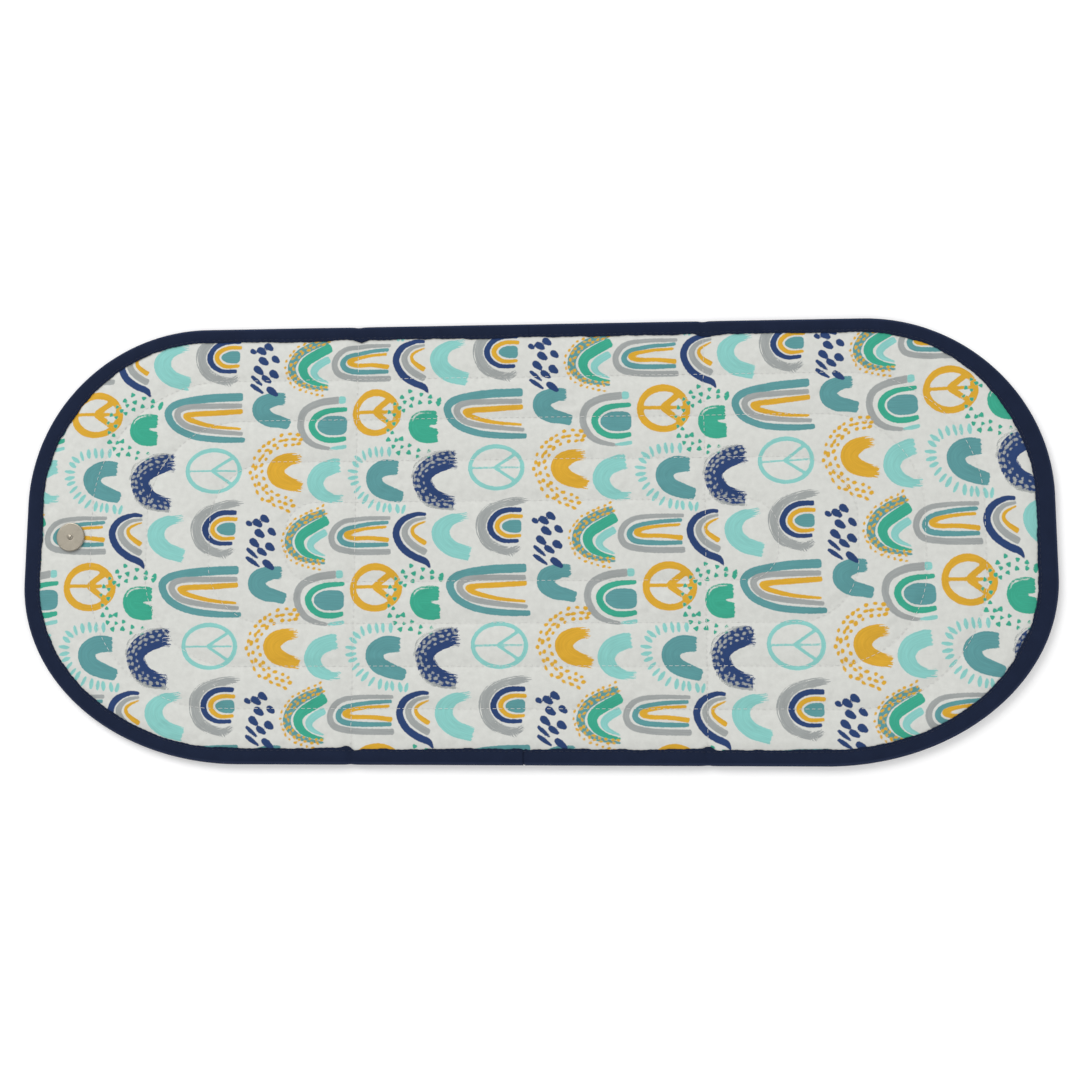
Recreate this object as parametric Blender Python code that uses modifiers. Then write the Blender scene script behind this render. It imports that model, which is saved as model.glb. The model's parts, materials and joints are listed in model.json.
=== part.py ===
"""A fold-up changing pad: a quilted, bound pad in three panels that folds like a letter.

The pad lies flat with its printed face up. +X runs along its length, +Y to its back edge, +Z up.
The origin is under its middle, on the surface that it lies on. Lengths are in metres.
The left panel folds last and carries the stud half of a magnetic snap on its printed face.
The right panel folds first and carries the socket half on its backing.
"""
import math

import bpy
from mathutils import Matrix

# Pad outline: a corner's reach is along the length and across the width
LENGTH = 0.664
WIDTH = 0.286
BACK_CORNER = (0.117, 0.117)
FRONT_CORNER = (0.146, 0.118)
FOLD_X = 0.113
PANEL_GAP = 0.0006
CORNER_STEPS = 14

# Layers, from the surface that the pad lies on
CLEARANCE = 0.0003
THICKNESS = 0.0070
BINDING_WIDTH = 0.010
BINDING_TAPE = 0.0006
BACKING_LOW = 0.0009
BACKING_HIGH = 0.0014
BATTING_LOW = 0.0017
BATTING_HIGH = 0.0053
TOP_LOW = 0.0056
TOP_HIGH = 0.0061
LAYER_INSET = BINDING_TAPE + CLEARANCE
BINDING_JOIN_X = -0.0026

# Fold axes: the raised left axis stands in for the soft fold that passes over the right panel
RIGHT_AXIS_Z = THICKNESS + 0.00015
LEFT_AXIS_Z = 0.01105

# Quilting: rounded rings (half length, half width, corner radius) and their thread
QUILT_RINGS = (
    (0.288, 0.1075, 0.086),
    (0.251, 0.0805, 0.062),
    (0.209, 0.0530, 0.040),
    (0.159, 0.0260, 0.020),
)
RING_STEPS = 7
THREAD_RADIUS = 0.00025
THREAD_Z = TOP_HIGH + CLEARANCE + THREAD_RADIUS
THREAD_GAP = 0.0010
SEAM_INSET = BINDING_WIDTH + CLEARANCE + THREAD_RADIUS

# Magnetic snap, one half on each end panel: the fold brings them face to face
STUD_X = -0.3013
SNAP_Y = 0.004
SOCKET_X = 2.0 * FOLD_X - (-2.0 * FOLD_X - STUD_X)
CAP_RADIUS = 0.0094
CAP_WALL = 0.0007
CAP_ROOF_LOW = 0.0071
CAP_ROOF_HIGH = 0.0077
STUD_RADIUS = 0.00175
STUD_HEIGHT = 0.0008
STUD_EDGE_HEIGHT = 0.0003
CAP_BEVEL = 0.0003
CLIP_THICKNESS = 0.0004
CLIP_WIDTH = 0.0024
LEG_X = 0.0040
FOOT_REACH = 0.0026
SLOT_HALF = (0.0006, 0.0016)
WASHER_RADIUS = 0.0070
PATCH_RADIUS = 0.0120
POCKET_RADIUS = 0.0124
POCKET_FLOOR = 0.0032
TURNED_STEPS = 40
DOME_STEPS = 5

# Stud half, under the printed fabric
STUD_CLIP_BRIDGE = (0.0068, 0.0064)
STUD_CLIP_FOOT = (0.0039, 0.0035)
STUD_WASHER_LOW = 0.0042
STUD_PATCH_LOW = 0.0049

# Socket half, sunk into the backing
CASE_RADIUS = 0.0093
CASE_WALL = 0.0004
CASE_LOW = 0.0001
CASE_HIGH = 0.0025
CASE_HOLE_RADIUS = 0.0024
MAGNET_LOW = 0.0008
MAGNET_HIGH = 0.0018
SOCKET_CLIP_BRIDGE = (0.0021, 0.0025)
SOCKET_CLIP_FOOT = (0.0049, 0.0053)
DIMPLE_ROOF_LOW = 0.0028
DIMPLE_ROOF_HIGH = 0.0032
DIMPLE_RADIUS = 0.0103
DIMPLE_WALL = 0.0005
SOCKET_PATCH_LOW = 0.0035
SOCKET_WASHER_LOW = 0.0042
PLATE_THICKNESS = 0.0004

# Colours (linear), roughness and metallic value of each material
MATERIALS = {
    "printed_cotton": ((0.64, 0.65, 0.63), 0.88, 0.0),
    "polyester_wadding": ((0.88, 0.88, 0.86), 0.95, 0.0),
    "navy_backing": ((0.020, 0.030, 0.070), 0.80, 0.0),
    "navy_binding": ((0.014, 0.019, 0.044), 0.75, 0.0),
    "white_thread": ((0.80, 0.80, 0.78), 0.70, 0.0),
    "navy_thread": ((0.016, 0.020, 0.050), 0.70, 0.0),
    "satin_nickel": ((0.40, 0.36, 0.29), 0.38, 1.0),
    "steel": ((0.45, 0.45, 0.46), 0.40, 1.0),
    "ferrite": ((0.03, 0.03, 0.03), 0.70, 0.0),
    "interfacing": ((0.82, 0.82, 0.80), 0.95, 0.0),
}


def clear_scene():
    for scene_object in list(bpy.data.objects):
        bpy.data.objects.remove(scene_object, do_unlink=True)


def new_collection(name):
    collection = bpy.data.collections.new(name)
    bpy.context.scene.collection.children.link(collection)
    return collection


def new_material(name, finish):
    colour, roughness, metallic = MATERIALS[finish]
    material = bpy.data.materials.new(name)
    material.use_nodes = True
    shader = material.node_tree.nodes["Principled BSDF"]
    shader.inputs["Base Color"].default_value = (*colour, 1.0)
    shader.inputs["Roughness"].default_value = roughness
    shader.inputs["Metallic"].default_value = metallic
    material.diffuse_color = (*colour, 1.0)
    return material


def new_piece(name, data, finish, parent):
    """Put one sub-part in the pad's collection, under the empty on its fold."""
    piece = bpy.data.objects.new(name, data)
    PIECES.objects.link(piece)
    piece.data.materials.append(new_material(name + "_material", finish))
    piece.parent = parent
    piece.matrix_parent_inverse = parent.matrix_world.inverted()
    return piece


def new_cutter(name, data):
    cutter = bpy.data.objects.new(name, data)
    CUTTERS.objects.link(cutter)
    cutter.hide_render = True
    cutter.display_type = "WIRE"
    return cutter


def fold_empty(name, x, z):
    empty = bpy.data.objects.new(name, None)
    PIECES.objects.link(empty)
    empty.location = (x, 0.0, z)
    empty.empty_display_size = 0.02
    return empty


def poly_spline(curve, points, cyclic):
    spline = curve.splines.new("POLY")
    spline.points.add(len(points) - 1)
    for point, place in zip(spline.points, points):
        height = place[2] if len(place) > 2 else 0.0
        point.co = (place[0], place[1], height, 1.0)
    spline.use_cyclic_u = cyclic


# Outlines

def rounded_end(side, start_x, inset):
    """One end of the pad, inset from its edge, from the fold's back end round to its front end."""
    half_length, half_width = LENGTH / 2, WIDTH / 2
    points = [(side * start_x, half_width - inset)]
    for (reach_x, reach_y), edge, first_angle in ((BACK_CORNER, 1.0, 90.0), (FRONT_CORNER, -1.0, 0.0)):
        for step in range(CORNER_STEPS + 1):
            angle = math.radians(first_angle - 90.0 * step / CORNER_STEPS)
            facing_x = math.cos(angle) / reach_x
            facing_y = math.sin(angle) / reach_y
            shift = inset / math.hypot(facing_x, facing_y)
            x = half_length - reach_x + reach_x * math.cos(angle) - shift * facing_x
            y = edge * (half_width - reach_y) + reach_y * math.sin(angle) - shift * facing_y
            points.append((side * x, y))
    points.append((side * start_x, inset - half_width))
    return points


def ring_end(side, start_x, half_length, half_width, radius, steps):
    points = [(side * start_x, half_width)]
    for centre_y, first_angle in ((half_width - radius, 90.0), (radius - half_width, 0.0)):
        for step in range(steps + 1):
            angle = math.radians(first_angle - 90.0 * step / steps)
            x = half_length - radius + radius * math.cos(angle)
            points.append((side * x, centre_y + radius * math.sin(angle)))
    points.append((side * start_x, -half_width))
    return points


def rectangle(centre, half_size):
    x, y = centre
    half_x, half_y = half_size
    left, right = x - half_x, x + half_x
    front, back = y - half_y, y + half_y
    return [(left, front), (right, front), (right, back), (left, back)]


def circle(centre, radius):
    angles = [2.0 * math.pi * step / TURNED_STEPS for step in range(TURNED_STEPS)]
    return [(centre[0] + radius * math.cos(a), centre[1] + radius * math.sin(a)) for a in angles]


def prong_slots(centre):
    x, y = centre
    return [rectangle((x - LEG_X, y), SLOT_HALF), rectangle((x + LEG_X, y), SLOT_HALF)]


# Ways to make a piece

def flat_curve(name, loops, low, high):
    """A flat sheet between two heights: the first loop is its outline, the others are holes."""
    curve = bpy.data.curves.new(name, "CURVE")
    curve.dimensions = "2D"
    curve.fill_mode = "BOTH"
    curve.extrude = (high - low) / 2
    for loop in loops:
        poly_spline(curve, loop, True)
    return curve


def flat_piece(name, loops, low, high, finish, parent):
    piece = new_piece(name, flat_curve(name, loops, low, high), finish, parent)
    piece.location.z = (low + high) / 2
    return piece


def thread(name, points, finish, parent):
    curve = bpy.data.curves.new(name, "CURVE")
    curve.dimensions = "3D"
    curve.bevel_depth = THREAD_RADIUS
    curve.bevel_resolution = 2
    curve.use_fill_caps = True
    poly_spline(curve, [(x, y, THREAD_Z) for x, y in points], False)
    return new_piece(name, curve, finish, parent)


def turned_mesh(name, profile):
    """A closed profile of (radius, height) turned about the vertical axis, as a plain mesh."""
    mesh = bpy.data.meshes.new(name)
    points = [(radius, 0.0, height) for radius, height in profile]
    on_axis = profile[0][0] == 0.0 and profile[-1][0] == 0.0
    last = len(points) - 1 if on_axis else len(points)
    edges = [(index, (index + 1) % len(points)) for index in range(last)]
    mesh.from_pydata(points, edges, [])
    return mesh


def turn(piece):
    screw = piece.modifiers.new("turn", "SCREW")
    screw.axis = "Z"
    screw.angle = 2.0 * math.pi
    screw.steps = TURNED_STEPS
    screw.render_steps = TURNED_STEPS
    screw.use_merge_vertices = True
    screw.merge_threshold = 0.00001
    screw.use_smooth_shade = True


def turned_piece(name, profile, centre, finish, parent):
    piece = new_piece(name, turned_mesh(name, profile), finish, parent)
    piece.location = (*centre, 0.0)
    turn(piece)
    return piece


def evaluated_mesh(source):
    """The mesh that an object's curve and modifiers make, with its loose caps welded on."""
    depsgraph = bpy.context.evaluated_depsgraph_get()
    mesh = bpy.data.meshes.new_from_object(source.evaluated_get(depsgraph))
    weld = bpy.data.objects.new(source.name + "_weld", mesh)
    CUTTERS.objects.link(weld)
    modifier = weld.modifiers.new("weld", "WELD")
    modifier.merge_threshold = 0.00001
    depsgraph = bpy.context.evaluated_depsgraph_get()
    welded = bpy.data.meshes.new_from_object(weld.evaluated_get(depsgraph))
    bpy.data.objects.remove(weld, do_unlink=True)
    return welded


def flat_mesh(name, loops, low, high):
    """A flat sheet as a mesh, for a piece that is cut or joined, or for a cutter."""
    source = new_cutter(name + "_outline", flat_curve(name, loops, low, high))
    mesh = evaluated_mesh(source)
    mesh.transform(Matrix.Translation((0.0, 0.0, (low + high) / 2)))
    bpy.data.objects.remove(source, do_unlink=True)
    return mesh


def cylinder_cutter(name, centre, radius, low, high):
    bpy.ops.mesh.primitive_cylinder_add(
        vertices=TURNED_STEPS, radius=radius, depth=high - low, location=(*centre, (low + high) / 2))
    made = bpy.context.active_object
    mesh = made.data
    place = made.location.copy()
    bpy.data.objects.remove(made, do_unlink=True)
    cutter = new_cutter(name, mesh)
    cutter.location = place
    return cutter


def combine(piece, operation, tool):
    boolean = piece.modifiers.new(tool.name, "BOOLEAN")
    boolean.operation = operation
    boolean.solver = "EXACT"
    boolean.object = tool


# Layers

def panel_loops(panel, inset):
    """The outline of one panel, as the fold lines cut it."""
    if panel == "centre":
        half_size = (FOLD_X - PANEL_GAP / 2, WIDTH / 2 - inset)
        return [rectangle((0.0, 0.0), half_size)]
    side = -1.0 if panel == "left" else 1.0
    return [rounded_end(side, FOLD_X + PANEL_GAP / 2, inset)]


def make_top_fabric():
    for panel, parent in PANELS.items():
        loops = panel_loops(panel, LAYER_INSET)
        if panel == "left":
            loops += prong_slots((STUD_X, SNAP_Y))
        flat_piece("top_fabric_" + panel, loops, TOP_LOW, TOP_HIGH, "printed_cotton", parent)


def make_batting():
    for panel, parent in PANELS.items():
        name = "batting_" + panel
        loops = panel_loops(panel, LAYER_INSET)
        if panel == "right":
            loops.append(circle((SOCKET_X, SNAP_Y), POCKET_RADIUS))
        if panel != "left":
            flat_piece(name, loops, BATTING_LOW, BATTING_HIGH, "polyester_wadding", parent)
            continue
        mesh = flat_mesh(name, loops, BATTING_LOW, BATTING_HIGH)
        batting = new_piece(name, mesh, "polyester_wadding", parent)
        pocket = cylinder_cutter("stud_pocket", (STUD_X, SNAP_Y), POCKET_RADIUS, POCKET_FLOOR, THICKNESS)
        combine(batting, "DIFFERENCE", pocket)


def make_backing():
    for panel, parent in PANELS.items():
        name = "backing_" + panel
        loops = panel_loops(panel, LAYER_INSET)
        if panel != "right":
            flat_piece(name, loops, BACKING_LOW, BACKING_HIGH, "navy_backing", parent)
            continue
        centre = (SOCKET_X, SNAP_Y)
        backing = new_piece(name, flat_mesh(name, loops, BACKING_LOW, BACKING_HIGH), "navy_backing", parent)
        outside = cylinder_cutter(
            "dimple_outside", centre, DIMPLE_RADIUS + DIMPLE_WALL, BACKING_LOW, DIMPLE_ROOF_HIGH)
        inside = cylinder_cutter("dimple_inside", centre, DIMPLE_RADIUS, -CLEARANCE, DIMPLE_ROOF_LOW)
        combine(backing, "UNION", outside)
        combine(backing, "DIFFERENCE", inside)
        low, high = DIMPLE_ROOF_LOW - CLEARANCE, DIMPLE_ROOF_HIGH + CLEARANCE
        for number, slot in enumerate(prong_slots(centre), start=1):
            name = "dimple_slot_" + str(number)
            combine(backing, "DIFFERENCE", new_cutter(name, flat_mesh(name, [slot], low, high)))


# Binding: one folded tape round the edge, with a C section

def binding_profile():
    """The tape's section: x runs inwards from its outer edge, y is height."""
    wide, high, tape = BINDING_WIDTH, THICKNESS, BINDING_TAPE
    points = [
        (wide, 0.0), (tape, 0.0), (0.0, tape), (0.0, high - tape), (tape, high), (wide, high),
        (wide, high - tape), (tape, high - tape), (tape, tape), (wide, tape),
    ]
    curve = bpy.data.curves.new("binding_profile", "CURVE")
    curve.dimensions = "2D"
    poly_spline(curve, points, True)
    return new_cutter("binding_profile", curve)


def binding_piece(name, points, profile, parent):
    curve = bpy.data.curves.new(name, "CURVE")
    curve.dimensions = "3D"
    curve.twist_mode = "Z_UP"
    curve.bevel_mode = "OBJECT"
    curve.bevel_object = profile
    curve.use_fill_caps = True
    poly_spline(curve, points, False)
    return new_piece(name, curve, "navy_binding", parent)


def make_binding():
    profile = binding_profile()
    fold_end = FOLD_X - PANEL_GAP / 2
    panel_start = FOLD_X + PANEL_GAP / 2
    half_width = WIDTH / 2
    join_low = BINDING_JOIN_X - PANEL_GAP / 2
    join_high = BINDING_JOIN_X + PANEL_GAP / 2
    left_path = list(reversed(rounded_end(-1.0, panel_start, 0.0)))
    binding_piece("binding_left", left_path, profile, PANELS["left"])
    binding_piece("binding_right", rounded_end(1.0, panel_start, 0.0), profile, PANELS["right"])
    straight_runs = {
        "binding_back": [(-fold_end, half_width), (fold_end, half_width)],
        "binding_front_left": [(join_low, -half_width), (-fold_end, -half_width)],
        "binding_front_right": [(fold_end, -half_width), (join_high, -half_width)],
    }
    for name, points in straight_runs.items():
        binding_piece(name, points, profile, PANELS["centre"])


# Thread

def fold_seam_x():
    return FOLD_X - PANEL_GAP / 2 - CLEARANCE - THREAD_RADIUS


def make_quilting():
    """Four rings of white thread, parted at the folds."""
    start = FOLD_X + PANEL_GAP / 2
    run_end = fold_seam_x() - THREAD_GAP
    for number, (half_length, half_width, radius) in enumerate(QUILT_RINGS, start=1):
        suffix = "_" + str(number)
        for panel, side in (("left", -1.0), ("right", 1.0)):
            points = ring_end(side, start, half_length, half_width, radius, RING_STEPS)
            thread("quilting_" + panel + suffix, points, "white_thread", PANELS[panel])
        for edge, sign in (("back", 1.0), ("front", -1.0)):
            run = [(-run_end, sign * half_width), (run_end, sign * half_width)]
            thread("quilting_centre_" + edge + suffix, run, "white_thread", PANELS["centre"])


def make_seams():
    """The stitched creases at the folds, and the row that holds the binding's inner edge."""
    seam_half = WIDTH / 2 - SEAM_INSET - THREAD_GAP
    for panel, side in (("left", -1.0), ("right", 1.0)):
        crease = [(side * fold_seam_x(), seam_half), (side * fold_seam_x(), -seam_half)]
        thread("fold_seam_" + panel, crease, "white_thread", PANELS["centre"])
        end = rounded_end(side, FOLD_X + PANEL_GAP / 2, SEAM_INSET)
        thread("binding_seam_" + panel, end, "navy_thread", PANELS[panel])
    run_end = FOLD_X - PANEL_GAP / 2
    for edge, sign in (("back", 1.0), ("front", -1.0)):
        y = sign * (WIDTH / 2 - SEAM_INSET)
        thread("binding_seam_" + edge, [(-run_end, y), (run_end, y)], "navy_thread", PANELS["centre"])


# Magnetic snap

def prong_clip(name, centre, bridge, foot, parent):
    """A strip bent into two prongs that pass through the cloth and fold out behind the washer.

    bridge and foot are each the heights of the strip's outer face and of its inner face.
    """
    inner = LEG_X - CLIP_THICKNESS / 2
    outer = LEG_X + CLIP_THICKNESS / 2
    tip = outer + FOOT_REACH
    half = [
        (outer, bridge[0]), (outer, foot[0]), (tip, foot[0]),
        (tip, foot[1]), (inner, foot[1]), (inner, bridge[1]),
    ]
    outline = half + [(-x, z) for x, z in reversed(half)]
    piece = new_piece(name, flat_curve(name, [outline], 0.0, CLIP_WIDTH), "steel", parent)
    piece.rotation_euler.x = math.radians(90.0)
    piece.location = (*centre, 0.0)


def stud_dome():
    """The stud's rounded nose, from its middle out to its side."""
    round_height = STUD_HEIGHT - STUD_EDGE_HEIGHT
    base = CAP_ROOF_HIGH + STUD_EDGE_HEIGHT
    angles = [math.radians(90.0 * step / DOME_STEPS) for step in range(DOME_STEPS + 1)]
    return [(STUD_RADIUS * math.sin(angle), base + round_height * math.cos(angle)) for angle in angles]


def make_stud_half():
    parent = PANELS["left"]
    centre = (STUD_X, SNAP_Y)
    rim_low = TOP_HIGH + CLEARANCE
    cap = stud_dome() + [
        (STUD_RADIUS, CAP_ROOF_HIGH),
        (CAP_RADIUS - CAP_BEVEL, CAP_ROOF_HIGH),
        (CAP_RADIUS, CAP_ROOF_HIGH - CAP_BEVEL),
        (CAP_RADIUS, rim_low),
        (CAP_RADIUS - CAP_WALL, rim_low),
        (CAP_RADIUS - CAP_WALL, CAP_ROOF_LOW),
        (0.0, CAP_ROOF_LOW),
    ]
    turned_piece("snap_stud_cap", cap, centre, "satin_nickel", parent)
    prong_clip("snap_stud_clip", centre, STUD_CLIP_BRIDGE, STUD_CLIP_FOOT, parent)
    snap_plates("snap_stud", centre, STUD_WASHER_LOW, STUD_PATCH_LOW, parent)


def make_socket_half():
    parent = PANELS["right"]
    centre = (SOCKET_X, SNAP_Y)
    inner = CASE_RADIUS - CASE_WALL
    case = [
        (CASE_HOLE_RADIUS, CASE_LOW + CASE_WALL),
        (inner, CASE_LOW + CASE_WALL),
        (inner, CASE_HIGH),
        (CASE_RADIUS, CASE_HIGH),
        (CASE_RADIUS, CASE_LOW + CASE_WALL / 2),
        (CASE_RADIUS - CASE_WALL / 2, CASE_LOW),
        (CASE_HOLE_RADIUS, CASE_LOW),
    ]
    turned_piece("snap_socket_case", case, centre, "satin_nickel", parent)
    magnet_radius = inner - CLEARANCE
    magnet = [
        (CASE_HOLE_RADIUS, MAGNET_HIGH), (magnet_radius, MAGNET_HIGH),
        (magnet_radius, MAGNET_LOW), (CASE_HOLE_RADIUS, MAGNET_LOW),
    ]
    turned_piece("snap_socket_magnet", magnet, centre, "ferrite", parent)
    prong_clip("snap_socket_clip", centre, SOCKET_CLIP_BRIDGE, SOCKET_CLIP_FOOT, parent)
    snap_plates("snap_socket", centre, SOCKET_WASHER_LOW, SOCKET_PATCH_LOW, parent)


def snap_plates(prefix, centre, washer_low, patch_low, parent):
    """The washer that the prongs fold over, and the patch that keeps the cloth from tearing."""
    washer = [circle(centre, WASHER_RADIUS)] + prong_slots(centre)
    flat_piece(prefix + "_washer", washer, washer_low, washer_low + PLATE_THICKNESS, "steel", parent)
    patch = [circle(centre, PATCH_RADIUS)] + prong_slots(centre)
    flat_piece(prefix + "_patch", patch, patch_low, patch_low + PLATE_THICKNESS, "interfacing", parent)


clear_scene()
PIECES = new_collection("changing_pad")
CUTTERS = new_collection("cutters")
PANELS = {
    "left": fold_empty("left_fold_axis", -FOLD_X, LEFT_AXIS_Z),
    "centre": fold_empty("pad_frame", 0.0, 0.0),
    "right": fold_empty("right_fold_axis", FOLD_X, RIGHT_AXIS_Z),
}
bpy.context.view_layer.update()
make_backing()
make_batting()
make_top_fabric()
make_binding()
make_quilting()
make_seams()
make_stud_half()
make_socket_half()
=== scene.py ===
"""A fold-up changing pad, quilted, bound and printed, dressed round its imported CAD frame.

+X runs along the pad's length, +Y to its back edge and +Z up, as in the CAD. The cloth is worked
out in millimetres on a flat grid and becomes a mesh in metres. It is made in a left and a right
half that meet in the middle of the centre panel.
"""
import json
import math

import bpy
import numpy as np
from mathutils import Matrix, Vector


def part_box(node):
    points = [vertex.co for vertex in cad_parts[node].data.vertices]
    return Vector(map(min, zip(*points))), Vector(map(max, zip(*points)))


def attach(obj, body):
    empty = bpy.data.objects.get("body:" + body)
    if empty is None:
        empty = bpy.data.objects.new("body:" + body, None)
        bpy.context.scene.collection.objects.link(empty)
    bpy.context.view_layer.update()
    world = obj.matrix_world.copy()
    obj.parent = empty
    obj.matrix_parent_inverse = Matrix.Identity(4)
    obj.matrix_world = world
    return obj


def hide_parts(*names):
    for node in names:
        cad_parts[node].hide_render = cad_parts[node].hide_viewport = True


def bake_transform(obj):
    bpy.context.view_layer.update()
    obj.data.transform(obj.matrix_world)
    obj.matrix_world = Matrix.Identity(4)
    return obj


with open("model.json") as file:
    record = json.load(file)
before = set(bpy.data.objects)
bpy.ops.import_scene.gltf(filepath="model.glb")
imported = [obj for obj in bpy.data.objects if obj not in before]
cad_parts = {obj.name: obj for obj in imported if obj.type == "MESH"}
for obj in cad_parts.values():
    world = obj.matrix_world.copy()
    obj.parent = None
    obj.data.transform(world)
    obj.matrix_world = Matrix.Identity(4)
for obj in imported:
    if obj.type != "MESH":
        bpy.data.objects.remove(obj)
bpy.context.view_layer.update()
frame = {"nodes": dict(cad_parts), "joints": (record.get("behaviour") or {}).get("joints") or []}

MM = 0.001
SIDES = {"left": -1.0, "right": 1.0}


# ---------------------------------------------------------------- sizes, read from the frame

def box_mm(node):
    """A CAD node's lowest and highest corners, in millimetres."""
    low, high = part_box(node)
    return np.array(low) / MM, np.array(high) / MM


HALF_LENGTH = box_mm("binding_right")[1][0]
HALF_WIDTH = box_mm("binding_back")[1][1]
BINDING_WIDTH = HALF_WIDTH - box_mm("binding_back")[0][1]
THICKNESS = box_mm("binding_back")[1][2]
# How far each corner of the outline reaches along the length and across the width
BACK_CORNER = (117.0, 117.0)
FRONT_CORNER = (146.0, 118.0)
CORNER_STEPS = 240
OUTLINE = (HALF_LENGTH, HALF_WIDTH, BACK_CORNER, FRONT_CORNER)
FOLDS = {joint["name"]: np.array(joint["pos_m"]) / MM for joint in frame["joints"]}
FOLD_X = FOLDS["right_fold"][0]

THREAD_RADIUS = 0.25
RING_CORNERS = (86.0, 62.0, 40.0, 20.0)
RINGS = [
    (
        box_mm(f"quilting_right_{ring}")[1][0] - THREAD_RADIUS,
        box_mm(f"quilting_centre_back_{ring}")[1][1] - THREAD_RADIUS,
        corner,
    )
    for ring, corner in enumerate(RING_CORNERS, start=1)
]

STUD_LOW, STUD_HIGH = box_mm("snap_stud_cap")
STUD_CENTRE = (STUD_LOW + STUD_HIGH)[:2] / 2
STUD_RADIUS = (STUD_HIGH - STUD_LOW)[0] / 2
CASE_LOW, CASE_HIGH = box_mm("snap_socket_case")
CASE_CENTRE = (CASE_LOW + CASE_HIGH)[:2] / 2
CASE_RADIUS = (CASE_HIGH - CASE_LOW)[0] / 2

# The printed face: heights above the surface that the pad lies on, and reaches from a seam or fold
ROW_HEIGHT = 5.5
PUFF_RISE = 1.0
PUFF_REACH = 4.2
PUFF_TOP = 7.05
SWELL_SHARE = 0.55
SWELL_MEAN = 0.45
PUCKER_HEIGHT = 0.10
PUCKER_PLACE = 3.0
FOLD_HEIGHT = 4.8
FOLD_REACH = 5.0
FOLD_PUCKER = 0.12
FOLD_SLOPE = 0.5
FOLD_SLOPE_REACH = 16.0
TUCKED_HEIGHT = 5.75
TUCKED_DIP = 1.3
TUCKED_DIP_REACH = 3.4
TUCK_REACH = 6.0
SNAP_PAD_HEIGHT = 6.05
SNAP_PAD_RADIUS = 12.6
CASE_PAD_HEIGHT = 5.75
CASE_PAD_REACH = 8.0
STITCH_PITCH = 3.85
HOLE_DEPTH = 0.28
HOLE_REACH = 1.1
CLOTH_INSET = 3.2

# The backing: heights, and the dimple over the socket
BACK_REST = 0.45
BACK_ROW_RISE = 0.95
BACK_ROW_REACH = 3.6
BACK_SWELL_SHARE = 0.12
BACK_FOLD_RISE = 0.45
BACK_FOLD_REACH = 4.0
BACK_HOLE_DEPTH = 0.12
BACK_TUCKED = 1.32
BACK_TUCK_REACH = 5.0
CASE_FLAT_HEIGHT = 1.0
DIMPLE_ROOF = 3.0
DIMPLE_RADIUS = 9.9
DIMPLE_WALL = 0.7


# ---------------------------------------------------------------- small helpers

def smoothstep(low, high, value):
    """From 0 at low to 1 at high, easing in and out."""
    t = np.clip((value - low) / (high - low), 0.0, 1.0)
    return t * t * (3.0 - 2.0 * t)


def rounded_distance(x, y, half_length, half_width, radius):
    """Signed distance to a rounded rectangle about the origin, negative inside."""
    qx = np.abs(x) - (half_length - radius)
    qy = np.abs(y) - (half_width - radius)
    outside = np.hypot(np.maximum(qx, 0.0), np.maximum(qy, 0.0))
    return outside + np.minimum(np.maximum(qx, qy), 0.0) - radius


# How much wider the binding was sewn at each end, and how much narrower along the back
SPARE_RIGHT = 2.5
SPARE_LEFT = 1.1
SPARE_BACK = 0.7


def binding_spare(x, y):
    """How much wider than usual the binding was sewn: more round the ends, less along the back."""
    along_back = smoothstep(90.0, 135.0, y) * (1.0 - smoothstep(190.0, 270.0, np.abs(x)))
    right_end = smoothstep(250.0, 322.0, x)
    left_end = smoothstep(-262.0, -322.0, x)
    return SPARE_RIGHT * right_end + SPARE_LEFT * left_end - SPARE_BACK * along_back


def oval_distance(x, y, reach_x, reach_y):
    """Distance from points in an oval's first quarter out to its curve, negative outside it."""
    spare = reach_x ** 2 - reach_y ** 2
    turn = np.arctan2(reach_x * y, reach_y * x)
    for _ in range(4):
        cosine, sine = np.cos(turn), np.sin(turn)
        error = spare * sine * cosine - reach_x * x * sine + reach_y * y * cosine
        slope = spare * (cosine ** 2 - sine ** 2) - reach_x * x * cosine - reach_y * y * sine
        turn = np.clip(turn - error / np.minimum(slope, -1000.0), 0.0, math.pi / 2)
    gap = np.hypot(reach_x * np.cos(turn) - x, reach_y * np.sin(turn) - y)
    return np.where(np.hypot(x / reach_x, y / reach_y) < 1.0, gap, -gap)


def edge_distance(x, y):
    """How far inside the pad's outline a point is."""
    x, y = np.broadcast_arrays(np.asarray(x, float), np.asarray(y, float))
    inside = np.minimum(HALF_LENGTH - np.abs(x), HALF_WIDTH - np.abs(y))
    for (reach_x, reach_y), on_side in ((BACK_CORNER, y > 0), (FRONT_CORNER, y <= 0)):
        from_x = np.abs(x) - HALF_LENGTH + reach_x
        from_y = np.abs(y) - HALF_WIDTH + reach_y
        corner = on_side & (from_x > 0) & (from_y > 0)
        inside[corner] = oval_distance(from_x[corner], from_y[corner], reach_x, reach_y)
    return inside


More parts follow.
